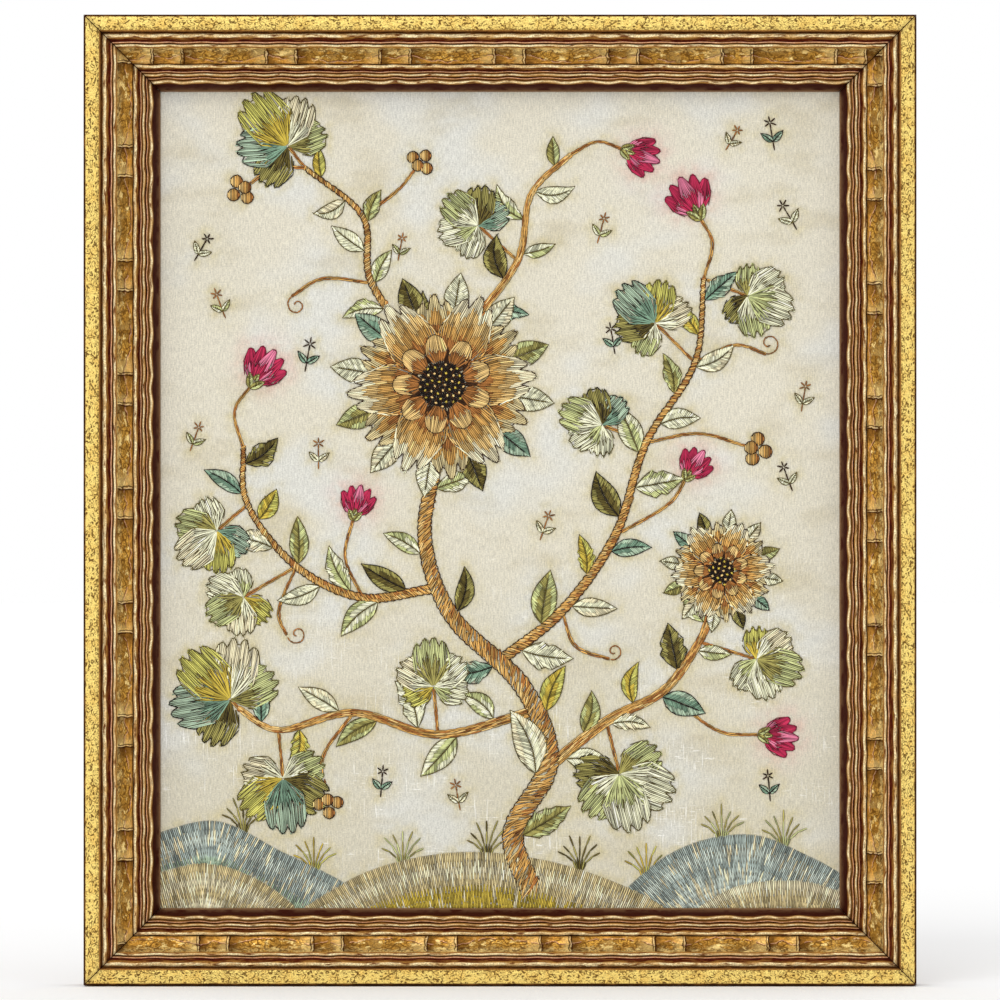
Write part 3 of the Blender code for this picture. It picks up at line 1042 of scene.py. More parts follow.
def leaf(needle, base, tip, width, shades, bend=0.0, teeth=0):
    """Fishbone leaf: slanted stitches from the midrib to each edge, with an outline and a vein."""
    inner, outer, vein = shades
    length = abs(tip - base)
    way = (tip - base) / length

    def place(share, side=0.0):
        """A point at a share of the leaf's length, and of its half width to one side."""
        curve = math.sin(math.pi * share ** 0.82) ** 0.9 if 0 < share < 1 else 0.0
        notch = 1 + (0.16 * math.cos(math.tau * teeth * share) if teeth else 0.0)
        sideways = bend * 4 * share * (1 - share) + side * width / 2 * curve * notch
        return base + way * complex(length * share, sideways)

    rows = max(5, int(length / (PITCH * 0.98)))
    for row in range(rows):
        share = (row + 0.35) / rows
        reach = min(share + 0.2 * (1 - share) + 0.05, 0.995)
        for side in (1, -1):
            root = place(share, 0.06 * side)
            edge = place(reach, side * needle.about(1.0, 0.06))
            span = abs(edge - root)
            if span > LONGEST:
                middle = root + (edge - root) * needle.random.uniform(0.42, 0.64)
                needle.lay(root, middle + (edge - root) * 0.05, inner)
                needle.lay(middle, edge, outer)
            elif span > SHORTEST:
                needle.lay(root, edge, inner if side == 1 else outer)
    needle.chain([place(step / 6) for step in range(6)], (vein,), 0.6, TOP_LIFT)
    bends = max(4, int(length / 2.6))
    for side in (1, -1):
        edge = [place(step / bends, side * 1.03) for step in range(bends + 1)]
        needle.chain(edge, (vein,), OUTLINE_GIRTH, OUTLINE_LIFT)
    needle.finish_motif()


def fan(needle, root, angle, length, width, shades, pointed=0.0, start=0.0, dome=0.28, teeth=0,
        edge_shade=None):
    """Long-and-short fill: columns that spread from the root to a round, pointed or toothed edge."""
    way = cmath.rect(1.0, angle)
    columns = max(3, int(width / PITCH))

    def place(lean, share):
        """A point in the direction of a column, at a share of the way to the edge."""
        far = 1 - dome * lean ** 2 * (1 - pointed)
        if teeth:
            far *= 1 - 0.17 * math.cos(math.pi * teeth * (lean + 1) / 2) ** 6
        spread = math.sin(math.pi * share * (0.6 + 0.37 * pointed)) ** 0.85 if share > 0 else 0.0
        return root + way * complex(length * far * share, lean * width / 2 * spread)

    for column in range(columns):
        lean = 2 * (column + 0.5) / columns - 1
        marks = [start]
        for band in range(1, len(shades)):
            marks.append(start + (1 - start) * (band + needle.random.uniform(-0.24, 0.24)) / len(shades))
        marks.append(1 + needle.random.uniform(-0.02, 0.02))
        for band, (low, high) in enumerate(zip(marks, marks[1:])):
            low = max(low - 0.03, 0.2 * (column % 2), 0.0)
            if low < high:
                needle.lay(place(lean, low), place(lean, high), shades[band])
    if edge_shade:
        rim = [place(-1, share) for share in (0.35, 0.7)]
        rim += [place(2 * step / columns - 1, 0.99) for step in range(0, columns + 1, 2)]
        rim += [place(1, share) for share in (0.7, 0.35)]
        needle.chain(rim, (edge_shade,), OUTLINE_GIRTH, OUTLINE_LIFT)
    needle.finish_motif()


def vine_leaf(needle, root, angle, size, green, lobes=5):
    """A broad leaf of overlapping scalloped lobes that fan out from its stalk, each in its own green."""
    for lobe in sorted(range(lobes), key=lambda lobe: abs(lobe - (lobes - 1) / 2)):
        share = lobe / (lobes - 1) * 2 - 1
        inner, outer, vein = GREENS[(green + 3 * lobe) % len(GREENS)]
        turn = angle + share * 1.9
        reach = size * (1 - 0.26 * abs(share)) * needle.random.uniform(0.93, 1.07)
        for spread in (-0.3, -0.1, 0.12, 0.3):
            foot = root + cmath.rect(reach * 0.14, turn + spread)
            tip = root + cmath.rect(reach * needle.random.uniform(0.55, 0.8), turn + spread)
            needle.chain([foot, (foot + tip) / 2, tip], (vein,), 0.4, TOP_LIFT)
        fan(needle, root, turn, reach, reach * 0.86, (inner, outer), 0.2, 0.05, 0.26, 4, vein)


def berry(needle, centre, radius):
    """A round berry in upright satin stitch, lighter on the left, with a dark outline."""
    count = int(2 * radius / (PITCH * 0.85))
    for index in range(count):
        lean = 2 * (index + 0.5) / count - 1
        half = radius * math.sqrt(1 - lean ** 2)
        shade = "honey" if lean < -0.2 else "ochre" if lean < 0.4 else "rust"
        needle.lay(centre + complex(lean * radius, -half), centre + complex(lean * radius, half), shade)
    rim = [centre + cmath.rect(radius * 1.03, math.tau * step / 9) for step in range(10)]
    needle.chain(rim, ("brown",), OUTLINE_GIRTH, OUTLINE_LIFT)
    needle.finish_motif()


def knot(needle, centre, shade, size=1.1):
    """A seed stitch: two short stitches that cross on top of the fill."""
    first = needle.random.uniform(0, math.pi)
    for turn in (0.0, 1.4):
        arm = cmath.rect(size / 2, first + turn)
        needle.lay(centre - arm, centre + arm, shade, 1.15, TOP_LIFT * 1.5 + turn * 0.05)


def blossom(needle, root, angle, size):
    """A half-open crimson blossom: pointed petals in a green cup."""
    for turn in (-0.75, 0.75, 0.0):
        cup = root - cmath.rect(size * 0.1, angle)
        tip = root + cmath.rect(size * 0.32, angle + turn)
        leaf(needle, cup, tip, size * 0.17, ("olive", "sage", "moss"))
    for turn, reach, shades in (
        (0.0, 1.0, ("crimson", "rose")),
        (-0.3, 0.96, ("rose", "crimson")),
        (0.3, 0.96, ("crimson", "crimson")),
        (-0.62, 0.88, ("crimson", "crimson")),
        (0.62, 0.88, ("rose", "crimson")),
    ):
        fan(needle, root, angle + turn, size * reach, size * 0.38, shades, 0.85, 0.08, edge_shade="wine")


def sprig(needle, root, angle, size, shade, greens):
    """A tiny scattered sprig: a stalk with two seed leaves, and a star of straight stitches."""
    way = cmath.rect(1.0, angle)
    star = root + way * size * 1.15
    for arm in range(6):
        ray = cmath.rect(1.0, angle + math.tau * arm / 6)
        needle.lay(star + ray * 0.4, star + ray * needle.about(size * 0.27, 0.15), shade, 0.75)
    for turn in (-0.9, 0.8):
        start = root + way * size * 0.35
        leaf(needle, start, start + cmath.rect(size * 0.6, angle + turn), size * 0.26, greens)
    needle.chain([root, root + way * size * 0.5, root + way * size], (shade,), 0.72)
    needle.finish_motif()


def bloom(needle, centre, radius):
    """A great open flower: seeds on a dark eye, short petals, two rings of long ones, and sepals."""
    scale = radius / 42
    for seed in range(round(34 * scale + 6)):
        knot(needle, centre + cmath.rect(1.62 * math.sqrt(seed + 0.5) * scale ** 0.35, 2.4 * seed),
             ("honey", "mustard")[seed % 2])
    eye = 10.5 * scale
    rings = max(2, round(eye / 2.1))
    for ring in range(rings):
        middle = eye * (ring + 0.6) / rings
        count = round(math.tau * middle / 0.9)
        for index in range(count):
            ray = cmath.rect(1.0, math.tau * index / count + ring)
            start = centre + ray * max(middle - 1.5, 0.2)
            end = centre + ray * needle.about(middle + 1.0, 0.06)
            needle.lay(start, end, ("ink", "ink", "brown")[(index + ring) % 3])
    needle.finish_motif()
    for index in range(9):
        angle = math.tau * index / 9 + 0.35
        root = centre + cmath.rect(8 * scale, angle)
        fan(needle, root, angle, needle.about(15, 0.05) * scale, 11 * scale, ("rust", "honey"), 0.45, 0.1,
            edge_shade="brown")
    for first, reach, width, shades in (
        (0.1, 38, 24, ("brown", "rust", "ochre", "honey", "straw")),
        (0.1 + math.tau / 12, 37, 22, ("brown", "rust", "rust", "ochre", "tan")),
    ):
        for index in range(6):
            angle = first + math.tau * index / 6
            root = centre + cmath.rect(5 * scale, angle)
            length = needle.about(reach, 0.04) * scale
            fan(needle, root, angle, length, width * scale, shades, 0.25, 0.12, 0.34, 3, "brown")
    for index in range(12):
        angle = math.tau * (index + 0.5) / 12 + 0.1
        foot, tip = (centre + cmath.rect(reach * scale, angle) for reach in (31, 51))
        leaf(needle, foot, tip, 11 * scale, GREENS[(0, 3, 5, 4, 1, 5)[index % 6]])


# Shades of a leaf: by the midrib, at the edge, and its vein and outline
GREENS = (
    ("olive", "sage", "moss"),
    ("teal", "sea", "ink"),
    ("sage", "pale", "moss"),
    ("pale", "straw", "moss"),
    ("moss", "olive", "ink"),
    ("pale", "pale", "moss"),
    ("mustard", "lime", "moss"),
    ("pale", "sage", "moss"),
)

# A branch of the plant: points from its foot, width at its foot and end, its leaves' number and length,
# and its rows of long stem stitch, or 0 for slanted satin stitch
Branch = namedtuple("Branch", "points start_width end_width leaves leaf_length rows")

BRANCHES = (
    Branch(((14, -176), (6, -150), (22, -118), (10, -84), (-22, -52), (-34, -16), (-27, 24)),
           9.5, 5.2, 7, 27, 0),
    Branch(((20, -122), (48, -100), (74, -86), (90, -64), (96, -48)), 5.0, 3.0, 8, 23, 7),
    Branch(((-2, -74), (28, -50), (52, -16), (66, 26), (88, 62), (92, 100)), 4.8, 2.2, 13, 23, 0),
    Branch(((-30, -40), (-62, -44), (-92, -30), (-114, -2), (-116, 24)), 4.2, 2.2, 9, 22, 0),
    Branch(((13, -96), (-28, -106), (-66, -96), (-100, -104), (-118, -94)), 4.4, 2.4, 7, 22, 6),
    Branch(((-34, 66), (-58, 98), (-62, 128), (-88, 150)), 3.8, 2.1, 7, 21, 0),
    Branch(((-14, 78), (8, 108), (14, 138), (32, 156)), 3.4, 1.9, 6, 20, 5),
)

# A thin twig: points from its foot, and what ends it
Twig = namedtuple("Twig", "points end size")

TWIGS = (
    Twig(((92, 100), (96, 116), (90, 128)), "blossom", 20),
    Twig(((-116, 24), (-120, 40), (-112, 52)), "blossom", 19),
    Twig(((32, 156), (44, 162), (56, 158)), "blossom", 17),
    Twig(((74, -86), (98, -104), (118, -106)), "blossom", 17),
    Twig(((52, -16), (76, -2), (84, 10)), "blossom", 15),
    Twig(((-62, -44), (-70, -26), (-66, -8)), "blossom", 15),
    Twig(((66, 26), (90, 30), (112, 24)), "berries", 3.0),
    Twig(((-88, 150), (-102, 150), (-114, 142)), "berries", 2.8),
    Twig(((-62, 128), (-46, 140), (-38, 150)), "berries", 2.6),
    Twig(((-66, -96), (-80, -116), (-78, -134)), "berries", 2.7),
    Twig(((-92, -30), (-100, -50), (-96, -62)), "tendril", 4.6),
    Twig(((88, 62), (106, 70), (120, 66)), "tendril", 5.0),
    Twig(((-58, 98), (-80, 100), (-94, 92)), "tendril", 4.6),
    Twig(((28, -50), (34, -66), (50, -72)), "tendril", 4.0),
)

# A broad leaf: its stalk's foot, its root, its size, and its place in the list of greens
Broad = namedtuple("Broad", "foot root size green")

BROADS = (
    Broad((-118, -94), (-122, -90), 31, 0),
    Broad((-100, -104), (-98, -126), 26, 3),
    Broad((-28, -106), (-30, -84), 22, 2),
    Broad((48, -100), (54, -124), 29, 4),
    Broad((-114, -2), (-128, -14), 23, 5),
    Broad((-88, 150), (-96, 160), 27, 0),
    Broad((8, 108), (-10, 124), 21, 1),
    Broad((90, -64), (116, -72), 22, 2),
    Broad((88, 62), (70, 80), 23, 3),
    Broad((92, 100), (112, 92), 21, 4),
    Broad((66, 26), (46, 34), 20, 1),
    Broad((-92, -30), (-116, -44), 20, 2),
)

# Small scattered sprigs: place, turn in degrees and size
Scatter = namedtuple("Scatter", "place turn size")

SCATTERS = (
    Scatter((124, 158), 100, 11), Scatter((102, 158), 60, 9), Scatter((134, 122), 120, 11),
    Scatter((44, 116), 75, 10), Scatter((52, 66), 100, 10), Scatter((136, 40), 80, 10),
    Scatter((-138, 108), 60, 10), Scatter((-124, 82), 110, 10), Scatter((-88, 58), 80, 11),
    Scatter((18, -18), 70, 10), Scatter((132, 4), 110, 10), Scatter((-46, 108), 80, 9),
    Scatter((-54, -134), 85, 10), Scatter((-18, -140), 100, 10), Scatter((36, 22), 80, 9),
    Scatter((-140, 22), 70, 10), Scatter((122, -136), 95, 10), Scatter((-82, 14), 90, 10),
)

# The great blooms: middle and radius of their petals
BLOOMS = ((complex(-26, 52), 42), (complex(100, -32), 23))


def work_flowers(needle):
    for centre, radius in BLOOMS:
        bloom(needle, centre, radius)
    for item in TWIGS:
        end, before = complex(*item.points[-1]), complex(*item.points[-2])
        angle = cmath.phase(end - before)
        if item.end == "blossom":
            blossom(needle, end, angle, item.size)
        elif item.end == "berries":
            for turn, reach in ((0.0, 0.5), (-0.95, 1.9), (0.95, 1.9), (0.0, 2.7)):
                berry(needle, end + cmath.rect(item.size * reach, angle + turn), item.size)


def work_broad_leaves(needle):
    for item in BROADS:
        root = complex(*item.root)
        vine_leaf(needle, root, cmath.phase(root - complex(*item.foot)), item.size, item.green)


def work_leaves(needle):
    number = 0
    for branch in BRANCHES:
        path = smooth_path(branch.points, 1.0)
        ways = headings(path)
        for index in range(branch.leaves):
            share = (index + 0.9) / (branch.leaves + 0.5)
            spot = int(share * (len(path) - 1))
            side = 1 if index % 2 else -1
            turn = side * needle.random.uniform(0.65, 1.15)
            size = branch.leaf_length * needle.random.uniform(0.75, 1.12) * (1.1 - 0.35 * share)
            half = (branch.start_width + (branch.end_width - branch.start_width) * share) / 2
            base = path[spot] + 1j * side * ways[spot] * half
            tip = base + ways[spot] * cmath.rect(size, turn)
            width = size * needle.random.uniform(0.38, 0.52)
            bend = side * size * needle.random.uniform(-0.1, 0.16)
            teeth = 5 if number % 3 == 0 else 0
            leaf(needle, base, tip, width, GREENS[number * 3 % len(GREENS)], bend, teeth)
            number += 1
    for index, item in enumerate(SCATTERS):
        sprig(needle, complex(*item.place), math.radians(item.turn), item.size,
              ("brown", "rust")[index % 2], GREENS[(index * 2 + 1) % len(GREENS)])


def work_stems(needle):
    for branch in BRANCHES:
        if branch.rows:
            taper = branch.end_width / branch.start_width
            twig(needle, branch.points, ("ochre", "honey", "ochre", "rust"), branch.rows, 1.0, 4.6, taper)
            needle.finish_motif()
        else:
            thick_stem(needle, branch.points, branch.start_width, branch.end_width)
    for item in TWIGS:
        twig(needle, item.points, ("ochre", "rust"), 2)
        if item.end == "tendril":
            last = complex(*item.points[-1])
            way = last - complex(*item.points[-2])
            middle = last + 1j * way / abs(way) * item.size
            arm = last - middle
            curl = [middle + arm * cmath.exp(0.42j * step) * (1 - 0.045 * step) for step in range(18)]
            twig(needle, curl, ("rust",), 1, 0.72, 1.5)
        needle.finish_motif()
    for item in BROADS:
        twig(needle, (item.foot, item.root), ("ochre", "rust"), 2)
        needle.finish_motif()


# A hillock: the points of its crest from left to right, and its shades from the crest down
Hillock = namedtuple("Hillock", "crest shades")

HILLOCKS = (
    Hillock(((-158, -169), (-132, -164), (-108, -172), (-88, -187)), ("tan", "straw", "tan", "straw")),
    Hillock(((84, -187), (108, -174), (136, -172), (158, -178)), ("straw", "tan", "tan", "straw")),
    Hillock(((-94, -187), (-58, -167), (-18, -159), (22, -163), (58, -175), (80, -187)),
            ("tan", "straw", "tan", "mustard")),
    Hillock(((-158, -151), (-128, -145), (-98, -159), (-70, -173), (-52, -187)),
            ("slate", "mist", "slate", "sea")),
    Hillock(((44, -187), (78, -159), (112, -151), (140, -161), (158, -171)),
            ("slate", "mist", "slate", "mist")),
)

# Rows of stitches down a hillock, the depth of one in millimetres, and how often a stitch is straw
GROUND_ROWS = 7
ROW_DEPTH = 5.4
STRAW_SHARE = 0.14

# Foot of each tuft of grass
TUFTS = ((-44, -165), (36, -167), (66, -171), (100, -154), (-116, -150), (-84, -168), (128, -157), (-6, -161))


def work_ground(needle):
    """Hillocks along the foot of the picture, in rows of upright stitches that follow each crest."""
    for crest, shades in HILLOCKS:
        path = smooth_path(crest, PITCH * 0.9)
        for number, (point, way) in enumerate(zip(path, headings(path))):
            down = -1j * way
            stagger = (number % 2) * 0.5 - 0.25
            for row in range(GROUND_ROWS):
                top = 0.0 if row == 0 else row + stagger + needle.random.uniform(-0.12, 0.12)
                foot = row + 1 + stagger + needle.random.uniform(-0.12, 0.12)
                shade = shades[min(row, 3)] if needle.random.random() > STRAW_SHARE else "straw"
                needle.lay(point + down * top * ROW_DEPTH, point + down * foot * ROW_DEPTH, shade)
        needle.finish_motif()
    for number, tuft in enumerate(TUFTS):
        shades = (("olive", "sage"), ("moss", "olive"), ("mustard", "lime"))[number % 3]
        for blade in sorted(range(-3, 4), key=abs):
            size = needle.about(16 - abs(blade) * 1.6, 0.1)
            root = complex(*tuft) + blade * 0.5
            bends = [root + size * share * cmath.exp(1j * (math.pi / 2 - blade * 0.26 * share ** 0.7))
                     for share in (0.0, 0.35, 0.7, 1.0)]
            needle.chain(bends, shades, 0.85)
        needle.finish_motif()


# The pieces of the needlework, from those in front to those behind
WORKS = {
    "flower_stitches": work_flowers,
    "broad_leaf_stitches": work_broad_leaves,
    "leaf_stitches": work_leaves,
    "stem_stitches": work_stems,
    "hillock_stitches": work_ground,
}


@lru_cache(maxsize=None)
def needlework():
    """Plan every stitch once, and return them by piece."""
    needle = Needle(HAND_SEED)
    pieces = {}
    for name, work in WORKS.items():
        needle.stitches = []
        work(needle)
        pieces[name] = needle.stitches
    return pieces


def stitch_tree():
    """Make each edge a strand of floss that rises from the silk, lies flat and dips in again."""
    tree, given = start_tree("floss stitches", (
        ("Points", "Int"), ("Sides", "Int"), ("Flatness", "Float"), ("Proud", "Float"),
        ("Floss", "Material"),
    ))
    add = partial(add_node, tree)
    lift, girth = (add("GeometryNodeInputNamedAttribute", None, {"Name": name}) for name in ("lift", "girth"))
    strands = add("GeometryNodeMeshToCurve", None, {"Mesh": given["Geometry"]})
    strands = add("GeometryNodeResampleCurve", None, {"Curve": strands, "Count": given["Points"]})
    share = add("GeometryNodeSplineParameter").outputs["Factor"]
    arch = add(overlap(share, ("SUBTRACT", 1.0, share), 4.0))
    rise = ("MULTIPLY_ADD", ("POWER", arch, 0.6), given["Proud"], lift)
    raised = add("ShaderNodeCombineXYZ", None, {"Z": rise})
    strands = add("GeometryNodeSetPosition", None, {"Geometry": strands, "Offset": raised})
    strands = add("GeometryNodeSetCurveNormal", {"mode": "Z_UP"}, {"Curve": strands})

    # The crown is 1 on the side of a strand that faces the viewer, 0 at its edges and -1 at its back
    ring = add("GeometryNodeCurvePrimitiveCircle", None, {"Resolution": given["Sides"], "Radius": 0.5})
    around = add("GeometryNodeSplineParameter").outputs["Factor"]
    ring = add("GeometryNodeStoreNamedAttribute", None, {
        "Geometry": ring, "Name": "crown", "Value": ("SINE", ("MULTIPLY", around, -math.tau)),
    })
    squash = add("ShaderNodeCombineXYZ", None, {"X": 1.0, "Y": given["Flatness"], "Z": 1.0})
    ring = add("GeometryNodeTransform", None, {"Geometry": ring, "Scale": squash})
    taper = ("MULTIPLY_ADD", ("POWER", arch, 0.5), 0.4, 0.6)
    skins = add("GeometryNodeCurveToMesh", None, {
        "Curve": strands, "Profile Curve": ring, "Scale": ("MULTIPLY", girth, taper), "Fill Caps": True,
    })
    skins = add("GeometryNodeSetShadeSmooth", None, {"Geometry": skins})
    skins = add("GeometryNodeRealizeInstances", None, {"Geometry": skins})
    skins = add("GeometryNodeSetMaterial", None, {"Geometry": skins, "Material": given["Floss"]})
    add("NodeGroupOutput", None, {"Geometry": skins})
    return tree


# What a strand's dye is multiplied by: painted shade at its sides and a painted highlight on its crown
SIDE_SHADE = (0.18, 0.12, 0.05)
CROWN_SHADE = (1.08, 1.08, 1.08)


def floss_material():
    """Untwisted silk floss, dyed: a painted highlight along each strand's crown and painted shade at its
    sides, with fine filaments and a soft sheen.
    """
    material, tree, shader = start_material("dyed silk floss")
    add = partial(add_node, tree)
    dye = add("ShaderNodeAttribute", {"attribute_name": "dye"}).outputs["Color"]
    crown = add("ShaderNodeAttribute", {"attribute_name": "crown"}).outputs["Fac"]
    place = add("ShaderNodeTexCoord").outputs["Object"]

    # Dye faded in patches 6 mm across
    fading = mottle(tree, place, 6 * MM, 3.0)
    bright = add("ShaderNodeMapRange", None, {
        "Value": fading, "From Min": 0.3, "From Max": 0.7, "To Min": 0.84, "To Max": 1.14,
    })
    faded = add("ShaderNodeHueSaturation", None, {"Color": dye, "Value": bright})

    # Painted shade: the sides of a strand, where it meets the next one, are painted browner and darker than
    # its crown, which carries a painted highlight
    lit = add("ShaderNodeMapRange", None, {"Value": crown, "From Min": 0.2, "From Max": 0.62})
    shade = lay_coats(tree, SIDE_SHADE, [(CROWN_SHADE, lit)])
    colour = add("ShaderNodeMix", {"data_type": "RGBA", "blend_type": "MULTIPLY", "clamp_result": True}, {
        "Factor": 1.0, "A": faded, "B": shade,
    })

    # Filaments along the strand, too fine to show but for the way they break the highlight
    filaments = ("SINE", ("MULTIPLY", crown, 4 * math.tau))
    connect(tree, shader, {
        "Base Color": colour,
        "Normal": add("ShaderNodeBump", None, {
            "Strength": 0.35, "Distance": 0.03 * MM, "Height": filaments,
        }),
        "Roughness": 0.46,
        "IOR": 1.54,
        "Specular IOR Level": 0.12,
        "Sheen Weight": 0.04,
        "Sheen Roughness": 0.4,
    })
    return material


def build_stitches(name, settings, floss):
    """Make one piece of the needlework, every stitch a closed strand."""
    points, edges, dyes, girths, lifts = [], [], [], [], []
    for stitch in needlework()[name]:
        dye = np.clip(np.array(getattr(settings, stitch.shade)) * stitch.tint, 0, 1)
        edges.append((len(points), len(points) + 1))
        for end in (stitch.start, stitch.end):
            points.append((end.real, end.imag, 0.0))
            dyes.append((*dye, 1.0))
            girths.append(stitch.girth * settings.girth / MM)
            lifts.append(stitch.lift)
    lines = temporary_object(name + "_lines", points, edges)
    store(lines.data, "dye", "FLOAT_COLOR", dyes)
    store(lines.data, "girth", "FLOAT", girths)
    store(lines.data, "lift", "FLOAT", lifts)
    mesh = bake_tree(lines, stitch_tree(), {
        "Points": settings.points,
        "Sides": settings.sides,
        "Flatness": settings.flatness,
        "Proud": settings.proud / MM,
        "Floss": floss,
    })
    remove_object(lines)
    upright = Matrix.Rotation(math.radians(90), 4, "X")
    mesh.transform(Matrix.Translation(CENTRE - Vector((0, SILK_FRONT, 0))) @ upright @ Matrix.Scale(MM, 4))
    return add_piece(name, mesh)


# Silk ground

# The shades whose dye has run, and how far from a stitch the silk is yellowed or dyed, in millimetres
BLEEDING = ("crimson", "rose")
HALO_REACH = 2.6
BLEED_REACH = 4.2

# How far the silk lies behind its solid's front along the frame, and how thick it is for its solid
SEAT_DEPTH = 0.05 * MM
THICKNESS_SHARE = 0.7


def silk_material(settings):
    """Aged ivory silk in plain weave: a soft sheen, slubbed threads, brown stains and worn pale streaks."""
    material, tree, shader = start_material("plain woven ivory silk")
    add = partial(add_node, tree)
    place = add("ShaderNodeTexCoord").outputs["Object"]
    halo, bleed = (
        add("ShaderNodeAttribute", {"attribute_name": name}).outputs["Fac"] for name in ("halo", "bleed")
    )

    def patches(width, height, detail=3.0):
        """A pattern with patches of a width and height in millimetres."""
        return mottle(tree, place, 1.0, detail, (1 / (width * MM), 1.0, 1 / (height * MM)))

    height = add("ShaderNodeSeparateXYZ", None, {"Vector": place}).outputs["Z"]
    low_down = add(("SMOOTHSTEP", height, CENTRE.z + 60 * MM, CENTRE.z - SIGHT_Y * MM))
    ragged = patches(6, 6, 4.0)
    coats = [
        (settings.aged_colour, ("ADD", low_down, patches(70, 60)), 0.6),
        (settings.cool_colour, ("SMOOTHSTEP", patches(52, 36, 2.0), 0.46, 0.66), 0.6),
        (settings.stain_colour, ("SMOOTHSTEP", patches(38, 18, 4.0), 0.5, 0.72), 0.42),
        (settings.halo_colour, halo, ("SMOOTHSTEP", ragged, 0.3, 0.75), 0.75),
        (settings.bleed_colour, bleed, ("SMOOTHSTEP", ragged, 0.25, 0.65), 0.5),
    ]

    # Worn pale threads: upright ones up to 20 mm long and level ones 8 mm long, in patches low down
    upright = ("SMOOTHSTEP", patches(0.7, 16, 2.0), 0.58, 0.68)
    level = ("SMOOTHSTEP", patches(7, 0.7, 2.0), 0.6, 0.7)
    rubbed = overlap(("SMOOTHSTEP", patches(34, 20), 0.46, 0.62), low_down)
    coats += [(settings.worn_colour, ("MAXIMUM", upright, level), rubbed, 0.75)]
    colour = lay_coats(tree, settings.ground_colour, coats)

    # The 0.25 mm weave is too fine to see: what shows is its grain, with slubs in the upright threads
    thread = add(("ADD", patches(0.55, 3.2, 2.0), patches(0.8, 0.6, 2.0)))
    shade = add("ShaderNodeMapRange", None, {
        "Value": thread, "From Min": 0.7, "From Max": 1.3, "To Min": 0.76, "To Max": 1.15,
    })
    connect(tree, shader, {
        "Base Color": add("ShaderNodeHueSaturation", None, {"Color": colour, "Value": shade}),
        "Normal": add("ShaderNodeBump", None, {"Strength": 0.45, "Distance": 0.12 * MM, "Height": thread}),
        "Roughness": 0.58,
        "IOR": 1.5,
        "Sheen Weight": 0.2,
    })
    return material


def closeness(points, stitches, reach):
    """How near each point lies to a stitch: 1 on it, fading to 0 a few times the reach away."""
    tree = KDTree(3 * len(stitches))
    for number, stitch in enumerate(stitches):
        for part in range(3):
            spot = stitch.start + (stitch.end - stitch.start) * part / 2
            tree.insert((spot.real, spot.imag, 0.0), 3 * number + part)
    tree.balance()
    gaps = np.array([tree.find((x, y, 0.0))[2] for x, y in points])
    return np.exp(-(np.maximum(gaps - 0.8, 0) / reach) ** 1.4)


def build_silk(settings):
    """Make the silk: one closed sheet, drawn in by its stitches and not quite flat."""
    width, height = SILK_HIGH.x - SILK_LOW.x, SILK_HIGH.z - SILK_LOW.z
    columns, rows = round(width / settings.facet), round(height / settings.facet)
    x = np.linspace(-width / 2, width / 2, columns + 1) / MM
    y = np.linspace(-height / 2, height / 2, rows + 1) / MM
    grid_x, grid_y = (part.ravel() for part in np.meshgrid(x, y))
    every = [stitch for stitches in needlework().values() for stitch in stitches]
    bleeding = [stitch for stitch in every if stitch.shade in BLEEDING]
    spots = list(zip(grid_x, grid_y))
    halo = closeness(spots, every, HALO_REACH)
    bleed = closeness(spots, bleeding, BLEED_REACH)

    # Slack of the stretched cloth: slow swells, and two level creases on the right above the middle
    swell = np.sin(grid_x / 41 + 1.3) * np.sin(grid_y / 57 - 0.4) + 0.5 * np.sin(grid_x / 17 + grid_y / 23)
    crease = np.exp(-((grid_y - 62 - 3 * np.sin(grid_x / 30)) / 2.2) ** 2) * np.clip(grid_x / 90, 0, 1)
    crease += np.exp(-((grid_y - 54 - 2 * np.sin(grid_x / 24)) / 1.8) ** 2) * np.clip(grid_x / 120, 0, 1)
    inside = np.clip(np.minimum(SIGHT_X - abs(grid_x), SIGHT_Y - abs(grid_y)) / 12, 0, 1)
    depth = settings.sag * (0.5 - 0.33 * swell - 0.3 * crease) * inside + settings.pucker * halo * inside
    depth += SEAT_DEPTH
    points = np.stack([grid_x * MM + CENTRE.x, depth - SILK_FRONT, grid_y * MM + CENTRE.z], axis=1)
    stride = columns + 1
    faces = [(row * stride + column, row * stride + column + 1, (row + 1) * stride + column + 1,
              (row + 1) * stride + column) for row in range(rows) for column in range(columns)]
    mesh = bpy.data.meshes.new("silk_ground")
    mesh.from_pydata(points.tolist(), [], faces)
    store(mesh, "halo", "FLOAT", halo)
    store(mesh, "bleed", "FLOAT", bleed)
    mesh.shade_smooth()
    silk = add_piece("silk_ground", mesh, [silk_material(settings)])
    solid = silk.modifiers.new("thickness", "SOLIDIFY")
    solid.thickness = SILK_THICKNESS * THICKNESS_SHARE
    solid.offset = -1.0
    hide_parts("silk_panel")


# Board


def board_material(settings):
    """Old pulp board: matt brown, with short fibres and a few faint darker patches."""
    material, tree, shader = start_material("brown pulp board")
    place = add_node(tree, "ShaderNodeTexCoord").outputs["Object"]
    fibre = mottle(tree, place, 1.5 * MM, 5.0)
    foxing = mottle(tree, place, 60 * MM, 4.0)
    spots = add_node(tree, "ShaderNodeMapRange", None, {
        "Value": foxing, "From Min": 0.5, "From Max": 0.75, "To Max": 0.25,
    })
    connect(tree, shader, {
        "Base Color": lay_coats(tree, settings.pulp_colour, [
            (settings.fibre_colour, fibre), (settings.foxed_colour, spots),
        ]),
        "Normal": add_node(tree, "ShaderNodeBump", None, {
            "Strength": 0.4, "Distance": 0.1 * MM, "Height": fibre,
        }),
        "Roughness": 0.88,
    })
    return material


# Stage

FLOOR_RADIUS = 14.0
FLOOR_SIDES = 96

# The way the key light shines: from the upper left, toward the picture
KEY_WAY = Vector((0.26, 0.80, -0.54))


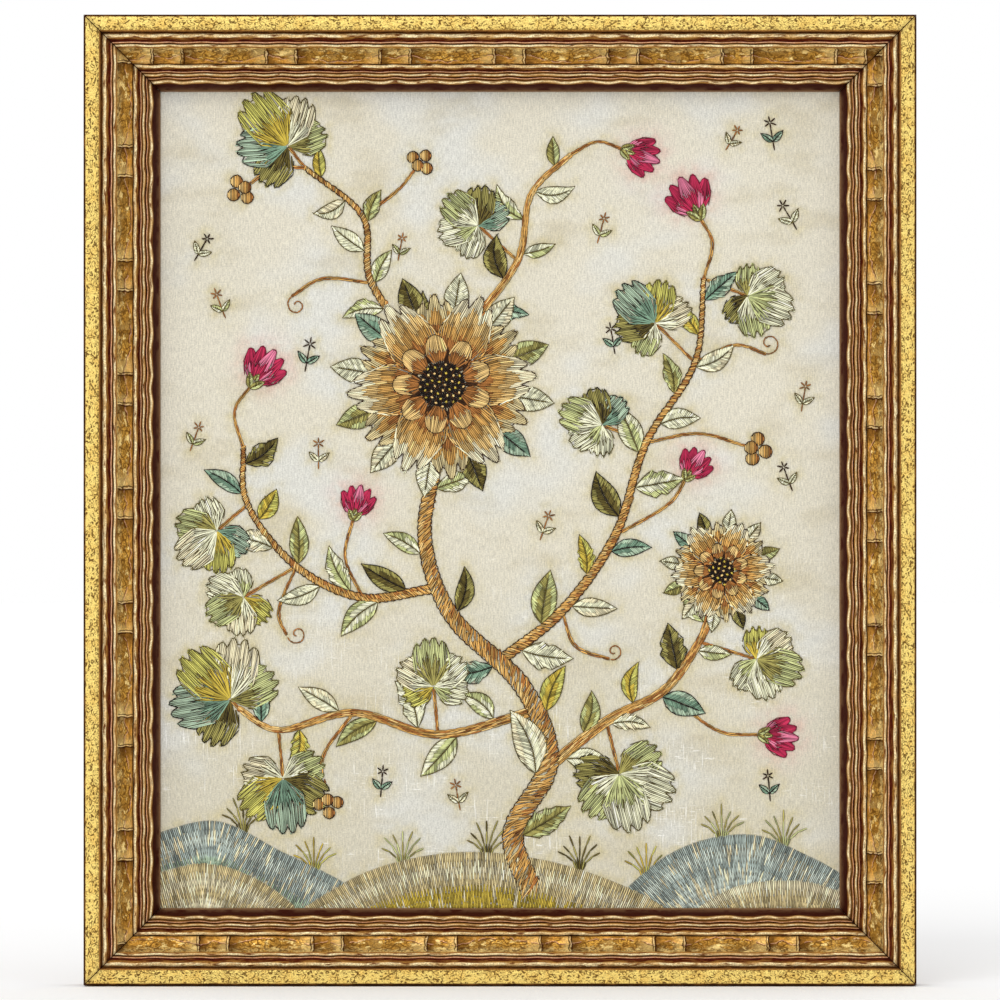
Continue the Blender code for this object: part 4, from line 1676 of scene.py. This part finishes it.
def build_stage(settings):
    """Make the pale floor, the soft studio light and the camera square on to the picture."""
    scene = bpy.context.scene
    scene.view_settings.view_transform = "Standard"
    floor_mesh = bpy.data.meshes.new("floor")
    body = bmesh.new()
    bmesh.ops.create_circle(body, cap_ends=True, segments=FLOOR_SIDES, radius=FLOOR_RADIUS)
    body.to_mesh(floor_mesh)
    body.free()
    floor_mesh.transform(Matrix.Translation((0.0, 0.0, CAD_BOX[0].z - 0.5 * MM)))
    material, floor_tree, shader = start_material("white painted floor")
    connect(floor_tree, shader, {"Base Color": settings.floor_colour, "Roughness": 0.9})
    floor_mesh.materials.append(material)
    floor = bpy.data.objects.new("floor", floor_mesh)
    scene.collection.objects.link(floor)

    # The surround is white to the eye. As a light it is stronger overhead than at eye level, so that the
    # gilding has something to mirror
    world = bpy.data.worlds.new("pale surround")
    scene.world = world
    world.use_nodes = True
    tree = world.node_tree
    direction = add_node(tree, "ShaderNodeTexCoord").outputs["Generated"]
    height = add_node(tree, "ShaderNodeSeparateXYZ", None, {"Vector": direction}).outputs["Z"]
    glow = add_node(tree, "ShaderNodeMapRange", None, {
        "Value": height, "To Min": settings.sky_low, "To Max": settings.sky_high,
    })
    seen = add_node(tree, "ShaderNodeLightPath").outputs["Is Camera Ray"]
    strength = add_node(tree, "ShaderNodeMix", {"data_type": "FLOAT"}, {
        "Factor": seen, "A": glow, "B": 1.0,
    })
    connect(tree, tree.nodes["Background"], {"Color": (1.0, 1.0, 1.0), "Strength": strength})

    key_data = bpy.data.lights.new("key", "SUN")
    key_data.energy = settings.key_strength
    key_data.angle = settings.key_size
    key = bpy.data.objects.new("key", key_data)
    key.rotation_euler = KEY_WAY.to_track_quat("-Z", "Y").to_euler()
    scene.collection.objects.link(key)

    data = bpy.data.cameras.new("camera")
    data.lens = settings.lens
    camera = bpy.data.objects.new("camera", data)
    distance = settings.lens / data.sensor_width * settings.view_width
    camera.location = (CENTRE.x, CAD_BOX[0].y - distance, CENTRE.z)
    camera.rotation_euler = (math.pi / 2, 0.0, 0.0)
    data.clip_end = 100.0
    scene.collection.objects.link(camera)
    scene.camera = camera


# Operators, panel and registration


class PICTURE_OT_rails(bpy.types.Operator):
    """Make the four mitred gilt rails"""

    bl_idname = "picture.rails"
    bl_label = "Gilt Rails"

    def execute(self, context):
        build_rails(context.scene.picture_frame)
        return {"FINISHED"}


class PICTURE_OT_needlework(bpy.types.Operator):
    """Stitch the stems, leaves, flowers and hillocks in silk floss"""

    bl_idname = "picture.needlework"
    bl_label = "Needlework"

    def execute(self, context):
        floss = floss_material()
        for name in WORKS:
            build_stitches(name, context.scene.picture_floss, floss)
        return {"FINISHED"}


class PICTURE_OT_silk(bpy.types.Operator):
    """Make the stretched silk ground"""

    bl_idname = "picture.silk"
    bl_label = "Silk Ground"

    def execute(self, context):
        build_silk(context.scene.picture_silk)
        return {"FINISHED"}


class PICTURE_OT_board(bpy.types.Operator):
    """Finish the board behind the silk"""

    bl_idname = "picture.board"
    bl_label = "Board"

    def execute(self, context):
        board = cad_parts["backing_board"]
        board.data.materials.clear()
        board.data.materials.append(board_material(context.scene.picture_board))
        return {"FINISHED"}


class PICTURE_OT_stage(bpy.types.Operator):
    """Make the floor, the lights and the camera"""

    bl_idname = "picture.stage"
    bl_label = "Stage"

    def execute(self, context):
        build_stage(context.scene.picture_stage)
        return {"FINISHED"}


OPERATORS = (PICTURE_OT_rails, PICTURE_OT_needlework, PICTURE_OT_silk, PICTURE_OT_board, PICTURE_OT_stage)
SETTINGS = {
    "picture_frame": PictureFrameSettings,
    "picture_silk": PictureSilkSettings,
    "picture_floss": PictureFlossSettings,
    "picture_board": PictureBoardSettings,
    "picture_stage": PictureStageSettings,
}


class PICTURE_PT_panel(bpy.types.Panel):
    """Lists the picture's pieces and their settings"""

    bl_label = "Silk Embroidery Picture"
    bl_space_type = "VIEW_3D"
    bl_region_type = "UI"
    bl_category = "Picture"

    def draw(self, context):
        for operator in OPERATORS:
            self.layout.operator(operator.bl_idname)
        for name, group in SETTINGS.items():
            box = self.layout.box()
            for setting in group.__annotations__:
                box.prop(getattr(context.scene, name), setting)


def register():
    for group in (*SETTINGS.values(), *OPERATORS, PICTURE_PT_panel):
        bpy.utils.register_class(group)
    for name, group in SETTINGS.items():
        setattr(bpy.types.Scene, name, PointerProperty(type=group))


def unregister():
    for name in SETTINGS:
        delattr(bpy.types.Scene, name)
    for group in (PICTURE_PT_panel, *OPERATORS, *SETTINGS.values()):
        bpy.utils.unregister_class(group)


def main():
    register()
    bpy.ops.picture.rails()
    bpy.ops.picture.needlework()
    bpy.ops.picture.silk()
    bpy.ops.picture.board()
    bpy.ops.picture.stage()


if __name__ == "__main__":
    main()
